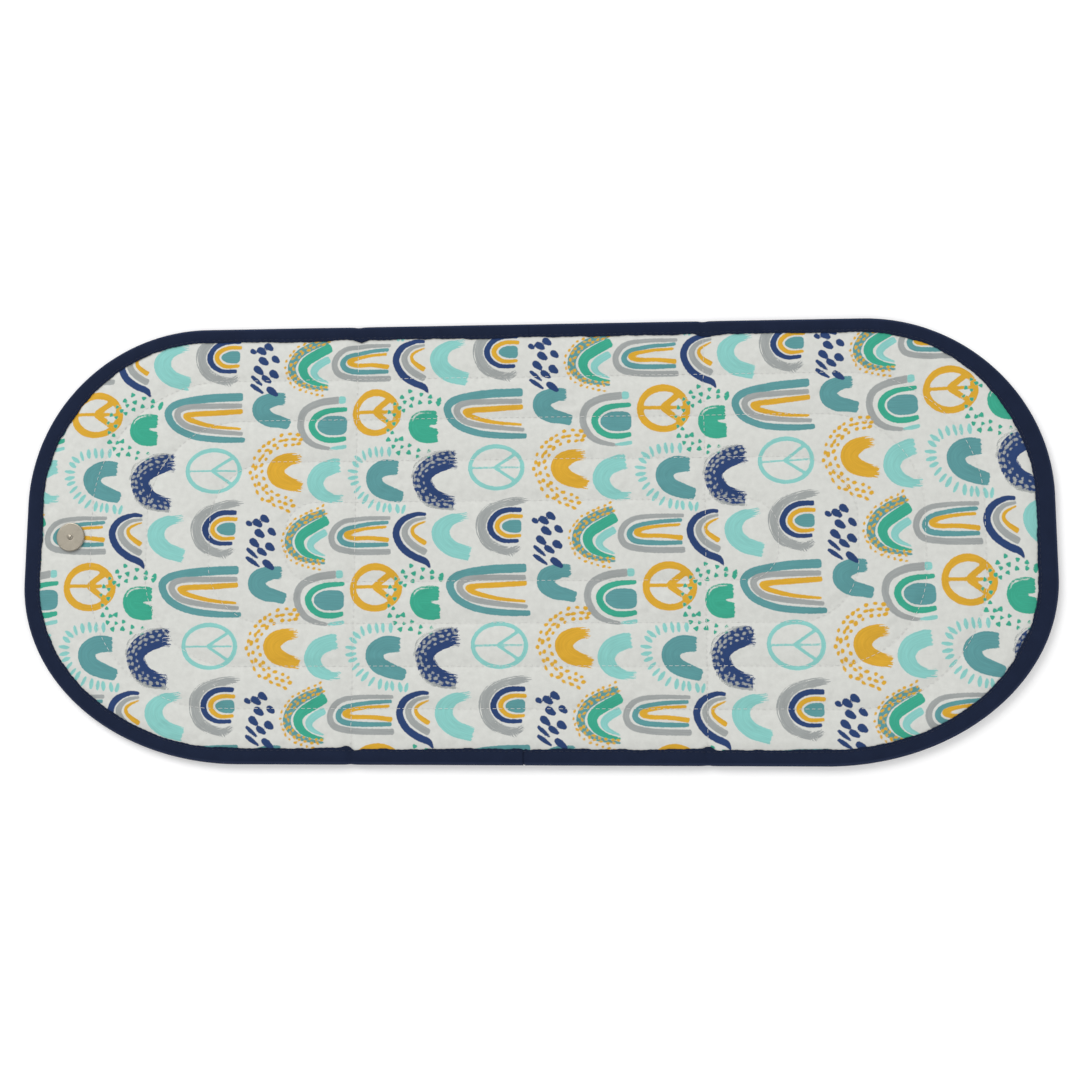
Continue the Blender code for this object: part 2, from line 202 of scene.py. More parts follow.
def ring_walk(half_length, half_width, back, front, spacing):
    """Points and directions every so often round an outline with oval corners, counter-clockwise
    from the middle of its front side, with the distance walked.

    Back and front say how far their corners reach along the length and across the width."""
    quarter = np.linspace(0.0, math.pi / 2, CORNER_STEPS + 1)
    line = [np.array([[0.0, -half_width, 0.0]])]
    corners = ((1, -1, front, -90), (1, 1, back, 0), (-1, 1, back, 90), (-1, -1, front, 180))
    for side_x, side_y, (reach_x, reach_y), first in corners:
        turn = math.radians(first) + quarter
        x = side_x * (half_length - reach_x) + reach_x * np.cos(turn)
        y = side_y * (half_width - reach_y) + reach_y * np.sin(turn)
        heading = np.arctan2(reach_y * np.cos(turn), -reach_x * np.sin(turn))
        line.append(np.stack([x, y, heading], 1))
    line = np.concatenate([*line, line[0]])
    line[:, 2] = np.unwrap(line[:, 2])
    passed = np.concatenate([[0.0], np.cumsum(np.hypot(*np.diff(line[:, :2], axis=0).T))])
    total = passed[-1]
    count = 2 * max(4, int(round(total / spacing / 2)))
    walked = np.arange(count) * total / count
    x, y, headings = (np.interp(walked, passed, column) for column in line.T)
    return np.stack([x, y], 1), headings, walked, total


def row_walk(ring, spacing):
    """The same walk round one quilting ring, whose corners are round."""
    half_length, half_width, radius = ring
    return ring_walk(half_length, half_width, (radius, radius), (radius, radius), spacing)


def ring_place(x, y, half_length, half_width, radius):
    """How far round a quilting ring the point nearest to (x, y) is, and how long the ring is."""
    run_x = half_length - radius
    run_y = half_width - radius
    quarter = radius * math.pi / 2
    qx = np.abs(x) - run_x
    qy = np.abs(y) - run_y
    from_end = np.where(qx <= 0, np.abs(x), 0.0)
    corner = np.arctan2(np.maximum(qx, 0.0), np.maximum(qy, 1e-6)) * radius
    side = run_x + quarter + np.maximum(-qy, 0.0)
    first = np.where(
        (qx > 0) & (qy > 0), run_x + corner,
        np.where(qx >= np.minimum(qy, 0.0), side, from_end))
    total = 4 * (run_x + run_y) + 4 * quarter
    quarter_turn = total / 4
    front = y < 0
    right = x >= 0
    place = np.where(
        front & right, first,
        np.where(~front & right, 2 * quarter_turn - first,
                 np.where(~front & ~right, 2 * quarter_turn + first, total - first)))
    return place, total


def mix_cells(values, ix, iy, jx, jy, fx, fy):
    """Four neighbouring cells' values, mixed by how far a place is from the first to the last."""
    near = values[ix, iy] * (1 - fx) + values[jx, iy] * fx
    far = values[ix, jy] * (1 - fx) + values[jx, jy] * fx
    return near * (1 - fy) + far * fy


# Noise repeats after this many cells
NOISE_CELLS = 64


def value_noise(x, y, cell, seed):
    """Smooth seeded noise from -1 to 1 with features of about one cell."""
    picks = np.random.RandomState(seed).uniform(-1.0, 1.0, (NOISE_CELLS, NOISE_CELLS))
    gx = x / cell
    gy = y / cell
    ix = np.floor(gx).astype(int)
    iy = np.floor(gy).astype(int)
    fx = smoothstep(0.0, 1.0, gx - ix)
    fy = smoothstep(0.0, 1.0, gy - iy)
    size = NOISE_CELLS
    return mix_cells(picks, ix % size, iy % size, (ix + 1) % size, (iy + 1) % size, fx, fy)


def sample_grid(grid, first, spacing, x, y):
    """A grid of values read at any place, by bilinear interpolation."""
    gx = np.clip((x - first[0]) / spacing, 0.0, grid.shape[0] - 1.001)
    gy = np.clip((y - first[1]) / spacing, 0.0, grid.shape[1] - 1.001)
    ix = gx.astype(int)
    iy = gy.astype(int)
    return mix_cells(grid, ix, iy, ix + 1, iy + 1, gx - ix, gy - iy)


def cubic_weights(count_in, count_out, factor):
    """The matrix that raises a row of values to a finer row along Catmull-Rom curves."""
    matrix = np.zeros((count_out, count_in))
    for out in range(count_out):
        place = out / factor
        cell = min(int(place), count_in - 2)
        t = place - cell
        weights = (
            0.5 * (-t + 2 * t * t - t ** 3),
            0.5 * (2 - 5 * t * t + 3 * t ** 3),
            0.5 * (t + 4 * t * t - 3 * t ** 3),
            0.5 * (t ** 3 - t * t),
        )
        for offset, weight in zip((-1, 0, 1, 2), weights):
            matrix[out, min(max(cell + offset, 0), count_in - 1)] += weight
    return matrix


# ---------------------------------------------------------------- the quilted shape

CELL = 1.0
COARSE = 4
GRID_X = np.arange(-HALF_LENGTH, HALF_LENGTH + CELL / 2, CELL)
GRID_Y = np.arange(-HALF_WIDTH, HALF_WIDTH + CELL / 2, CELL)
FIRST = (GRID_X[0], GRID_Y[0])
PAD_X, PAD_Y = np.meshgrid(GRID_X, GRID_Y, indexing="ij")


def row_distance(x, y):
    """Distance to the nearest quilting row."""
    rings = [np.abs(rounded_distance(x, y, *ring)) for ring in RINGS]
    return np.min(rings, axis=0)


def fold_distance(x):
    """Distance to the nearer fold."""
    return np.abs(np.abs(x) - FOLD_X)


# The cloth simulation
SIM_SCALE = 4.0
SIM_FRAMES = 20
SIM_SETTINGS = {
    "quality": 6, "mass": 0.15, "tension_stiffness": 25.0, "compression_stiffness": 25.0,
    "shear_stiffness": 8.0, "bending_stiffness": 0.4, "vertex_group_mass": "seams",
    "pin_stiffness": 1.0, "shrink_min": -0.035, "use_pressure": True, "uniform_pressure_force": 4.0,
}

# Its first shape: each wave's height, cell and seed, and how much of them it starts with
CALM_WAVES = ((0.25, 17.0, 3), (0.18, 8.0, 4))
START_SHARE = 0.25

# How near to a seam the cloth is held, and how far it may move elsewhere
SEAM_HOLD = 2.0
SWELL_LOW = -0.3
SWELL_HIGH = 1.2


def run_cloth(points, faces, held):
    """The heights of a cloth that is held at its seams and pushed up by the wadding.

    It is simulated at a larger scale, where the solver is steadier."""
    mesh = bpy.data.meshes.new("swell")
    mesh.from_pydata((points * MM * SIM_SCALE).tolist(), [], faces.tolist())
    cloth = bpy.data.objects.new("swell", mesh)
    bpy.context.scene.collection.objects.link(cloth)
    pins = cloth.vertex_groups.new(name="seams")
    pins.add(held.tolist(), 1.0, "REPLACE")
    modifier = cloth.modifiers.new("cloth", "CLOTH")
    for name, value in SIM_SETTINGS.items():
        setattr(modifier.settings, name, value)
    modifier.settings.effector_weights.gravity = 0.0
    modifier.collision_settings.use_collision = False
    scene = bpy.context.scene
    for number in range(1, SIM_FRAMES + 1):
        scene.frame_set(number)
    solved = cloth.evaluated_get(bpy.context.evaluated_depsgraph_get())
    heights = np.array([v.co.z for v in solved.data.vertices]) / (MM * SIM_SCALE)
    scene.frame_set(1)
    bpy.data.objects.remove(cloth, do_unlink=True)
    return heights


def simulate_swell():
    """How far the wadding lifts the cloth, on the coarse grid.
"""
    xs = GRID_X[::COARSE]
    ys = np.linspace(GRID_Y[0], GRID_Y[-1], int(round((GRID_Y[-1] - GRID_Y[0]) / COARSE)) + 1)
    x, y = np.meshgrid(xs, ys, indexing="ij")
    calm = sum(height * value_noise(x, y, cell, seed) for height, cell, seed in CALM_WAVES)
    index = np.arange(x.size).reshape(x.shape)
    faces = np.stack([index[:-1, :-1], index[1:, :-1], index[1:, 1:], index[:-1, 1:]], -1)
    inside = edge_distance(x, y)
    on_pad = inside > -COARSE
    keep = on_pad[:-1, :-1] & on_pad[1:, :-1] & on_pad[1:, 1:] & on_pad[:-1, 1:]
    held = (
        (row_distance(x, y) < SEAM_HOLD)
        | (fold_distance(x) < SEAM_HOLD)
        | (inside < BINDING_WIDTH)
        | (np.hypot(x - STUD_CENTRE[0], y - STUD_CENTRE[1]) < SNAP_PAD_RADIUS)
    )
    points = np.stack([x, y, START_SHARE * calm], -1).reshape(-1, 3)
    heights = run_cloth(points, faces[keep].reshape(-1, 4), index[held]).reshape(x.shape)
    return np.where(held, 0.0, np.clip(heights, SWELL_LOW, SWELL_HIGH))


def fine_swell():
    """The swell, raised to the fine grid."""
    coarse = simulate_swell()
    along = cubic_weights(coarse.shape[0], len(GRID_X), COARSE)
    across = cubic_weights(coarse.shape[1], len(GRID_Y), (len(GRID_Y) - 1) / (coarse.shape[1] - 1))
    return along @ coarse @ across.T


def stitch_wave(x, y, ring):
    """1 at a needle hole and 0 half way along a stitch."""
    place, total = ring_place(x, y, *ring)
    pitch = total / round(total / STITCH_PITCH)
    return 0.5 + 0.5 * np.cos(2 * math.pi * place / pitch)


def holes(x, y):
    """How deep the needle holes pull the cloth down, from 0 to 1."""
    depth = np.zeros_like(x)
    for ring in RINGS:
        near = np.exp(-(rounded_distance(x, y, *ring) / HOLE_REACH) ** 2)
        depth = np.maximum(depth, near * stitch_wave(x, y, ring))
    fold_wave = 0.5 + 0.5 * np.cos(2 * math.pi * y / STITCH_PITCH)
    return np.maximum(depth, np.exp(-(fold_distance(x) / HOLE_REACH) ** 2) * fold_wave)


def top_heights(x, y, swell):
    """The printed face's height: puffed between the rows, creased at the folds, tucked at the rim."""
    to_row = row_distance(x, y)
    to_fold = fold_distance(x)
    inside = edge_distance(x, y) - binding_spare(x, y)
    to_stud = np.hypot(x - STUD_CENTRE[0], y - STUD_CENTRE[1])
    to_case = np.hypot(x - CASE_CENTRE[0], y - CASE_CENTRE[1])
    puff = 1.0 - np.exp(-(to_row / PUFF_REACH) ** 1.5)
    height = ROW_HEIGHT + puff * (PUFF_RISE + SWELL_SHARE * (swell - SWELL_MEAN))
    puckers = value_noise(x, y, 5.0, 11) + 0.6 * value_noise(x, y, 2.7, 12)
    height += PUCKER_HEIGHT * puckers * np.exp(-((to_row - PUCKER_PLACE) / PUCKER_PLACE) ** 2)
    height -= FOLD_SLOPE * np.exp(-(to_fold / FOLD_SLOPE_REACH) ** 2)
    crease = np.exp(-(to_fold / FOLD_REACH) ** 1.6)
    height = height * (1 - crease) + (FOLD_HEIGHT + FOLD_PUCKER * puckers) * crease
    height -= HOLE_DEPTH * holes(x, y)
    beside = smoothstep(BINDING_WIDTH - 1.0, BINDING_WIDTH + TUCK_REACH, inside)
    tucked = TUCKED_HEIGHT - TUCKED_DIP * np.exp(-(to_fold / TUCKED_DIP_REACH) ** 2)
    height = tucked + (height - tucked) * beside
    flat = 1.0 - smoothstep(SNAP_PAD_RADIUS - 1.0, SNAP_PAD_RADIUS + 5.0, to_stud)
    height = height + (SNAP_PAD_HEIGHT - height) * flat
    held_up = 1.0 - smoothstep(CASE_RADIUS, CASE_RADIUS + CASE_PAD_REACH, to_case)
    height = np.maximum(height, CASE_PAD_HEIGHT * held_up)
    return np.minimum(height, PUFF_TOP)


def back_heights(x, y, swell):
    """The backing's height: flat between the rows, drawn up at them, dimpled over the socket."""
    to_row = row_distance(x, y)
    to_fold = fold_distance(x)
    inside = edge_distance(x, y) - binding_spare(x, y)
    to_case = np.hypot(x - CASE_CENTRE[0], y - CASE_CENTRE[1])
    fold_rise = BACK_FOLD_RISE * np.exp(-(to_fold / BACK_FOLD_REACH) ** 2)
    puff = 1.0 - np.exp(-(to_row / BACK_ROW_REACH) ** 1.6)
    height = BACK_REST + BACK_ROW_RISE * (1 - puff) - BACK_SWELL_SHARE * puff * (swell - 0.5)
    height += fold_rise
    height += BACK_HOLE_DEPTH * holes(x, y)
    beside = smoothstep(BINDING_WIDTH - 1.0, BINDING_WIDTH + BACK_TUCK_REACH, inside)
    tucked = BACK_TUCKED + fold_rise
    height = tucked + (height - tucked) * beside
    flat = 1.0 - smoothstep(DIMPLE_RADIUS + 1.5, DIMPLE_RADIUS + 7.0, to_case)
    height = height + (CASE_FLAT_HEIGHT - height) * flat
    dimple = 1.0 - smoothstep(DIMPLE_RADIUS, DIMPLE_RADIUS + DIMPLE_WALL, to_case)
    return height + (DIMPLE_ROOF - height) * dimple


SWELL = fine_swell()
TOP = top_heights(PAD_X, PAD_Y, SWELL)
BACK = back_heights(PAD_X, PAD_Y, SWELL)


def top_at(x, y):
    """The printed face's height at any place."""
    return sample_grid(TOP, FIRST, CELL, x, y)


def back_at(x, y):
    """The backing's height at any place."""
    return sample_grid(BACK, FIRST, CELL, x, y)


# ---------------------------------------------------------------- meshes

def new_object(name, points, faces, material):
    """A smooth-shaded object from points in millimetres."""
    mesh = bpy.data.meshes.new(name)
    mesh.from_pydata((np.asarray(points) * MM).tolist(), [], [list(map(int, f)) for f in faces])
    mesh.validate()
    mesh.materials.append(material)
    mesh.shade_smooth()
    made = bpy.data.objects.new(name, mesh)
    bpy.context.scene.collection.objects.link(made)
    return made


def half_grid(side, spacing, inset):
    """A flat grid over one half of the pad: its points, quads and the quads' rim edges.

    Points beside the rim are moved on to the inset outline."""
    xs = np.arange(0.0, HALF_LENGTH + spacing, spacing) * SIDES[side]
    if SIDES[side] < 0:
        xs = xs[::-1]
    rows = int(round(2 * HALF_WIDTH / spacing))
    ys = np.linspace(-HALF_WIDTH, HALF_WIDTH, rows + 1)
    x, y = np.meshgrid(xs, ys, indexing="ij")
    index = np.arange(x.size).reshape(x.shape)
    quads = np.stack([index[:-1, :-1], index[1:, :-1], index[1:, 1:], index[:-1, 1:]], -1)
    middle_x = (x[:-1, :-1] + x[1:, 1:]) / 2
    middle_y = (y[:-1, :-1] + y[1:, 1:]) / 2
    quads = quads[edge_distance(middle_x, middle_y) > inset]
    used, quads = np.unique(quads, return_inverse=True)
    quads = quads.reshape(-1, 4)
    points = np.stack([x.ravel()[used], y.ravel()[used]], 1)
    edges = np.concatenate([quads[:, [k, (k + 1) % 4]] for k in range(4)])
    keys = np.sort(edges, 1)
    _, first, counts = np.unique(keys, axis=0, return_index=True, return_counts=True)
    rim = edges[first[counts == 1]]
    on_rim = np.unique(rim)
    on_outline = on_rim[np.abs(points[on_rim, 0]) > spacing / 2]
    for _ in range(3):
        px, py = points[on_outline].T
        gap = edge_distance(px, py) - inset
        step = 0.05
        slope_x = (edge_distance(px + step, py) - edge_distance(px - step, py)) / (2 * step)
        slope_y = (edge_distance(px, py + step) - edge_distance(px, py - step)) / (2 * step)
        points[on_outline] -= np.stack([gap * slope_x, gap * slope_y], 1)
    at_middle = on_rim[np.abs(points[on_rim, 0]) <= spacing / 2]
    ends = at_middle[np.abs(points[at_middle, 1]) > HALF_WIDTH - inset - spacing]
    points[ends, 1] = np.sign(points[ends, 1]) * (HALF_WIDTH - inset)
    return points, quads, rim


def store(mesh, name, kind, values):
    """Keep a value for each point of a mesh, for its material to read."""
    attribute = mesh.attributes.new(name, kind, "POINT")
    field = "vector" if kind == "FLOAT_VECTOR" else "value"
    attribute.data.foreach_set(field, np.asarray(values, np.float32).ravel())


def tube_quads(count, sides, closed=False):
    """Quads between rings of points, ring after ring, each with so many sides."""
    rings = count if closed else count - 1
    ring = np.arange(rings)[:, None]
    side = np.arange(sides)[None, :]
    following = (ring + 1) % count
    turn = (side + 1) % sides
    return np.stack(
        [ring * sides + side, ring * sides + turn, following * sides + turn, following * sides + side],
        -1).reshape(-1, 4)


# ---------------------------------------------------------------- the print, one repeat

# One repeat's length and width, how far the print is turned, and the cells it is painted on
REPEAT = (186.9, 114.9)
PRINT_TURN = math.radians(0.28)
TILE_CELL = 0.5
TILE_SIZE = [int(round(length / TILE_CELL)) for length in REPEAT]
# How far outside a mark its ink's depth is kept, and how far an ink reaches in under the next
INK_REACH = 3.0
INK_OVERLAP = 0.5
TILE_X, TILE_Y = np.meshgrid(
    *[np.arange(count) * length / count for count, length in zip(TILE_SIZE, REPEAT)], indexing="ij")
# The inks in the order that the material mixes them, three to a stored attribute
PRINT_LAYERS = {"print_a": ("teal", "mint", "green"), "print_b": ("grey", "gold", "navy")}
INK = {name: np.full(TILE_X.shape, -INK_REACH) for names in PRINT_LAYERS.values() for name in names}
BRUSH = np.zeros((3, *TILE_X.shape))


def near_motif(origin, low, high):
    """The repeat's cells round a motif, with their places relative to its origin."""
    x = (TILE_X - origin[0] + REPEAT[0] / 2) % REPEAT[0] - REPEAT[0] / 2
    y = (TILE_Y - origin[1] + REPEAT[1] / 2) % REPEAT[1] - REPEAT[1] / 2
    cells = (x > low[0]) & (x < high[0]) & (y > low[1]) & (y < high[1])
    return cells, x[cells], y[cells]


def lay_ink(colour, cells, depth, along, across, dryness):
    """Lay one mark over what is there. Depth is how far inside the mark a cell is.

    Inks mixed before this one reach in under its edge, inks mixed after it only just."""
    spare = INK_OVERLAP if colour in INK else 0.0
    for name, ink in INK.items():
        if name == colour:
            ink[cells] = np.maximum(ink[cells], depth)
            spare = INK_OVERLAP / 4
        else:
            ink[cells] = np.minimum(ink[cells], spare - depth)
    wet = depth > -1.0
    for field, values in zip(BRUSH, (along, across, dryness)):
        part = field[cells]
        part[wet] = values[wet]
        field[cells] = part


def smooth_line(points, closed=False, steps=6):
    """A Catmull-Rom line through points of (x, y, width)."""
    knots = np.array(points, float)
    if closed:
        knots = np.concatenate([knots[-1:], knots, knots[:2]])
    else:
        knots = np.concatenate([[2 * knots[0] - knots[1]], knots, [2 * knots[-1] - knots[-2]]])
    t = (np.arange(steps) / steps)[:, None]
    line = []
    for a, b, c, d in zip(knots, knots[1:], knots[2:], knots[3:]):
        line.append(0.5 * (2 * b + (c - a) * t + (2 * a - 5 * b + 4 * c - d) * t ** 2
                           + (3 * b - a - 3 * c + d) * t ** 3))
    return np.concatenate([*line, knots[-2:-1]])


def brush_stroke(colour, origin, points, closed=False, tip=0.9, dry=(0.0, 0.0, 0.0), ragged=0.0):
    """A painted stroke through points of (x, y, width).

    Tip is how round its ends are, dry how streaky it is at its start, middle and end, and
    ragged how far its ends fray."""
    line = smooth_line(points, closed)
    reach = line[:, 2].max() / 2 + INK_REACH
    cells, x, y = near_motif(origin, line[:, :2].min(0) - reach, line[:, :2].max(0) + reach)
    start, end = line[:-1], line[1:]
    run = end[:, :2] - start[:, :2]
    length = np.maximum(np.hypot(*run.T), 1e-6)
    heading = run / length[:, None]
    from_start = np.stack([x[:, None] - start[:, 0], y[:, None] - start[:, 1]], -1)
    along = (from_start * heading).sum(-1)
    across = from_start[..., 1] * heading[:, 0] - from_start[..., 0] * heading[:, 1]
    held = np.clip(along, 0.0, length)
    gap = np.hypot(along - held, across)
    best = gap.argmin(1)
    pick = np.arange(len(x)), best
    part = held[pick] / length[best]
    half = (start[best, 2] * (1 - part) + end[best, 2] * part) / 2
    walked = np.concatenate([[0.0], np.cumsum(length)])
    place = walked[best] + held[pick]
    beyond = np.full(len(x), -99.0)
    sideways = np.where(across[pick] < 0, -gap[pick], gap[pick])
    if not closed:
        before = (best == 0) & (along[pick] < 0)
        after = (best == len(length) - 1) & (along[pick] > length[best])
        sideways = np.where(before | after, across[pick], sideways)
        beyond = np.maximum(-place, place - walked[-1])
        beyond = np.where(before, -along[pick], np.where(after, along[pick] - length[best], beyond))
        fray = np.sin(sideways * 2.3 + 1.0) + 0.7 * np.sin(sideways * 5.1 + place * 0.2)
        beyond = beyond + ragged * fray
    rounding = tip * half
    over = np.abs(sideways) - half + rounding
    past = beyond + rounding
    depth = rounding - np.hypot(np.maximum(over, 0), np.maximum(past, 0))
    depth -= np.minimum(np.maximum(over, past), 0)
    near_start = 1 - smoothstep(0.0, 9.0, place)
    near_end = 1 - smoothstep(0.0, 9.0, walked[-1] - place)
    dryness = dry[1] + (dry[0] - dry[1]) * near_start + (dry[2] - dry[1]) * near_end
    lay_ink(colour, cells, depth, place, sideways, dryness)


def spot(colour, origin, place, size, angle=0.0):
    """An oval dab of length and width size, turned by an angle in degrees."""
    reach = max(size) / 2 + INK_REACH
    cells, x, y = near_motif(origin, np.array(place) - reach, np.array(place) + reach)
    turn = math.radians(angle)
    u = (x - place[0]) * math.cos(turn) + (y - place[1]) * math.sin(turn)
    v = (y - place[1]) * math.cos(turn) - (x - place[0]) * math.sin(turn)
    depth = (1 - np.hypot(u / (size[0] / 2), v / (size[1] / 2))) * min(size) / 2
    lay_ink(colour, cells, depth, u, v, np.zeros_like(u))


def chip(colour, origin, place, size, angle):
    """A small three-sided dab."""
    reach = size + INK_REACH
    cells, x, y = near_motif(origin, np.array(place) - reach, np.array(place) + reach)
    sides = []
    for corner in range(3):
        facing = math.radians(angle + 120 * corner)
        sides.append((x - place[0]) * math.cos(facing) + (y - place[1]) * math.sin(facing))
    depth = size * 0.42 - np.max(sides, axis=0)
    depth = np.minimum(depth, size * 0.62 - np.hypot(x - place[0], y - place[1]))
    lay_ink(colour, cells, depth, x, y, np.zeros_like(x))


def beside_line(line, offset, spacing, scatter, rng, ends=(0.0, 0.0)):
    """Places spaced along a line moved to its left, with headings, slightly scattered."""
    run = np.gradient(line[:, :2], axis=0)
    heading = run / np.hypot(*run.T)[:, None]
    moved = line[:, :2] + offset * np.stack([-heading[:, 1], heading[:, 0]], 1)
    walked = np.concatenate([[0.0], np.cumsum(np.hypot(*np.diff(moved, axis=0).T))])
    place = ends[0]
    while place < walked[-1] - ends[1]:
        spot_at, facing = (
            np.array([np.interp(place, walked, column) for column in values.T])
            for values in (moved, heading))
        spot_at = spot_at + rng.uniform(-scatter, scatter, 2)
        yield spot_at, math.degrees(math.atan2(facing[1], facing[0]))
        place += spacing * rng.uniform(0.85, 1.15)


def print_arch(origin, bands):
    """Nested arches: each band is a colour and its line."""
    for colour, points in bands:
        brush_stroke(colour, origin, points, tip=0.55)


def print_spoked_ring(colour, origin, radii, rim_width, hub, spokes):
    """An uneven ring with spokes from its hub: each has its tip and its width."""
    points = []
    for step in range(12):
        angle = 2 * math.pi * step / 12
        swell = 1 + 0.08 * math.cos(3 * angle + 1)
        points.append((radii[0] * math.cos(angle), radii[1] * math.sin(angle), rim_width * swell))
    brush_stroke(colour, origin, points, closed=True)
    for tip_x, tip_y, width in spokes:
        brush_stroke(colour, origin, [(*hub, width), (tip_x, tip_y, width)])


def paint_repeat():
    """Fill one repeat of the print, row by row."""
    rng = np.random.RandomState(7)
    paint_row_of_long_arches(rng)
    paint_row_of_rings(rng)
    paint_row_of_wide_arches(rng)
    paint_drops(rng)


def paint_row_of_long_arches(rng):
    """Mint, round, dotted, long and navy arches, from left to right."""
    brush_stroke("mint", (-46.5, 4.7), [
        (7.8, 12.0, 5.0), (-3.0, 9.2, 7.4), (-8.9, 3.3, 11.0), (-8.4, -3.6, 11.2), (-3.2, -9.0, 10.6),
        (2.8, -11.4, 9.8), (9.0, -13.2, 9.4),
    ], tip=0.15, dry=(0.7, 0.0, 0.1), ragged=0.5)
    small = (-9, 5)
    brush_stroke("grey", small, [
        (10.0, 21.5, 1.4), (5.0, 21.3, 4.4), (-1.5, 20.5, 5.8), (-14.0, 16.5, 6.6), (-20.0, 10.0, 7.4),
        (-21.0, 3.0, 7.4), (-18.0, -5.0, 7.0), (-11.0, -10.0, 6.6), (-3.0, -11.8, 6.0), (4.0, -8.5, 3.0),
    ], tip=0.4, dry=(0.5, 0.24, 0.34), ragged=0.7)
    brush_stroke("grey", small, [(-3.0, -13.0, 3.0), (-1.0, -15.4, 1.6)], dry=(0.3, 0.3, 0.3), ragged=0.4)
    navy_arch = [
        (5.3, 15.2, 3.2), (-5.0, 15.0, 3.5), (-12.0, 11.5, 3.7), (-15.5, 5.0, 3.9), (-13.3, -1.0, 3.6),
        (-7.0, -4.8, 2.9), (3.0, -5.0, 2.5),
    ]
    brush_stroke("ground", small, [(x, y, width + 1.3) for x, y, width in navy_arch])
    print_arch(small, [
        ("navy", navy_arch),
        ("gold", [(6.0, 10.8, 2.6), (-3.0, 11.0, 2.9), (-8.8, 8.5, 3.1), (-10.9, 4.5, 3.3),
                  (-8.8, 0.6, 3.1), (-4.0, -1.8, 2.7), (4.6, -1.5, 2.1)]),
        ("teal", [(4.8, 4.5, 8.4), (-1.0, 4.5, 8.4), (-5.0, 4.5, 6.4), (-7.8, 4.5, 2.4)]),
    ])
    dotted = (46, -1)
    teal_arch = [
        (9.0, 21.0, 4.8), (-2.0, 16.8, 5.6), (-11.0, 11.0, 5.7), (-15.3, 3.0, 5.4), (-13.3, -4.0, 4.9),
        (-5.5, -9.7, 3.4), (9.5, -12.8, 1.4),
    ]
    print_arch(dotted, [
        ("teal", teal_arch),
        ("green", [(11.0, 16.0, 6.6), (1.5, 11.0, 6.8), (-5.8, 6.2, 6.6), (-8.0, 1.2, 6.2),
                   (-5.3, -4.5, 4.9), (1.0, -8.3, 3.2), (9.5, -10.5, 1.9)]),
        ("mint", [(10.0, 8.0, 4.8), (2.4, 3.6, 5.2), (-0.6, -0.4, 4.8), (1.7, -4.4, 3.2),
                  (9.5, -8.0, 1.0)]),
    ])
    for offset, inset in ((-4.4, 0.0), (-1.4, 1.5), (1.2, 0.5)):
        for place, heading in beside_line(smooth_line(teal_arch), offset, 4.0, 0.4, rng, (inset, 1.0)):
            spot("gold", dotted, place, (rng.uniform(2.1, 3.3), rng.uniform(1.5, 2.0)),
                 heading + rng.uniform(-30, 30))
    print_arch((80, 4), [
        ("grey", [(20.0, 11.0, 2.4), (0.0, 11.0, 2.9), (-12.0, 9.5, 3.3), (-18.5, 5.0, 3.8),
                  (-20.7, -1.5, 4.1), (-17.3, -7.5, 4.1), (-7.0, -10.2, 3.9), (6.0, -11.0, 3.9),
                  (20.0, -11.0, 3.8)]),
        ("teal", [(18.8, 8.2, 2.3), (3.0, 7.2, 2.7), (-9.5, 5.0, 3.0), (-14.6, 1.4, 3.6),
                  (-14.4, -2.6, 3.8), (-9.5, -5.3, 3.6), (3.0, -6.3, 3.2), (18.5, -6.3, 2.6)]),
        ("gold", [(17.5, 5.2, 1.9), (3.0, 4.4, 2.2), (-6.5, 2.9, 2.8), (-10.7, 0.7, 3.6),
                  (-6.5, -1.4, 3.0), (6.0, -1.8, 2.8), (19.0, -3.4, 3.3)]),
    ])
    print_arch((114.7, 2.9), [
        ("navy", [(7.5, 14.5, 2.2), (1.5, 14.6, 3.0), (-6.6, 11.0, 4.0), (-10.7, 5.0, 4.4),
                  (-10.7, -1.0, 4.5), (-6.7, -8.0, 4.6), (0.0, -13.0, 4.6), (6.5, -16.0, 4.2),
                  (9.5, -20.5, 0.8)]),
        ("grey", [(7.5, 12.2, 1.7), (-0.5, 10.2, 2.6), (-5.4, 5.0, 3.7), (-4.9, -0.5, 4.1),
                  (-0.4, -5.8, 4.3), (7.3, -10.5, 4.4)]),
        ("gold", [(7.5, 10.2, 1.0), (1.5, 7.4, 1.8), (-1.0, 4.8, 2.2), (-0.3, 1.3, 2.6),
                  (3.2, -1.9, 3.2), (7.3, -4.6, 3.4)]),
    ])


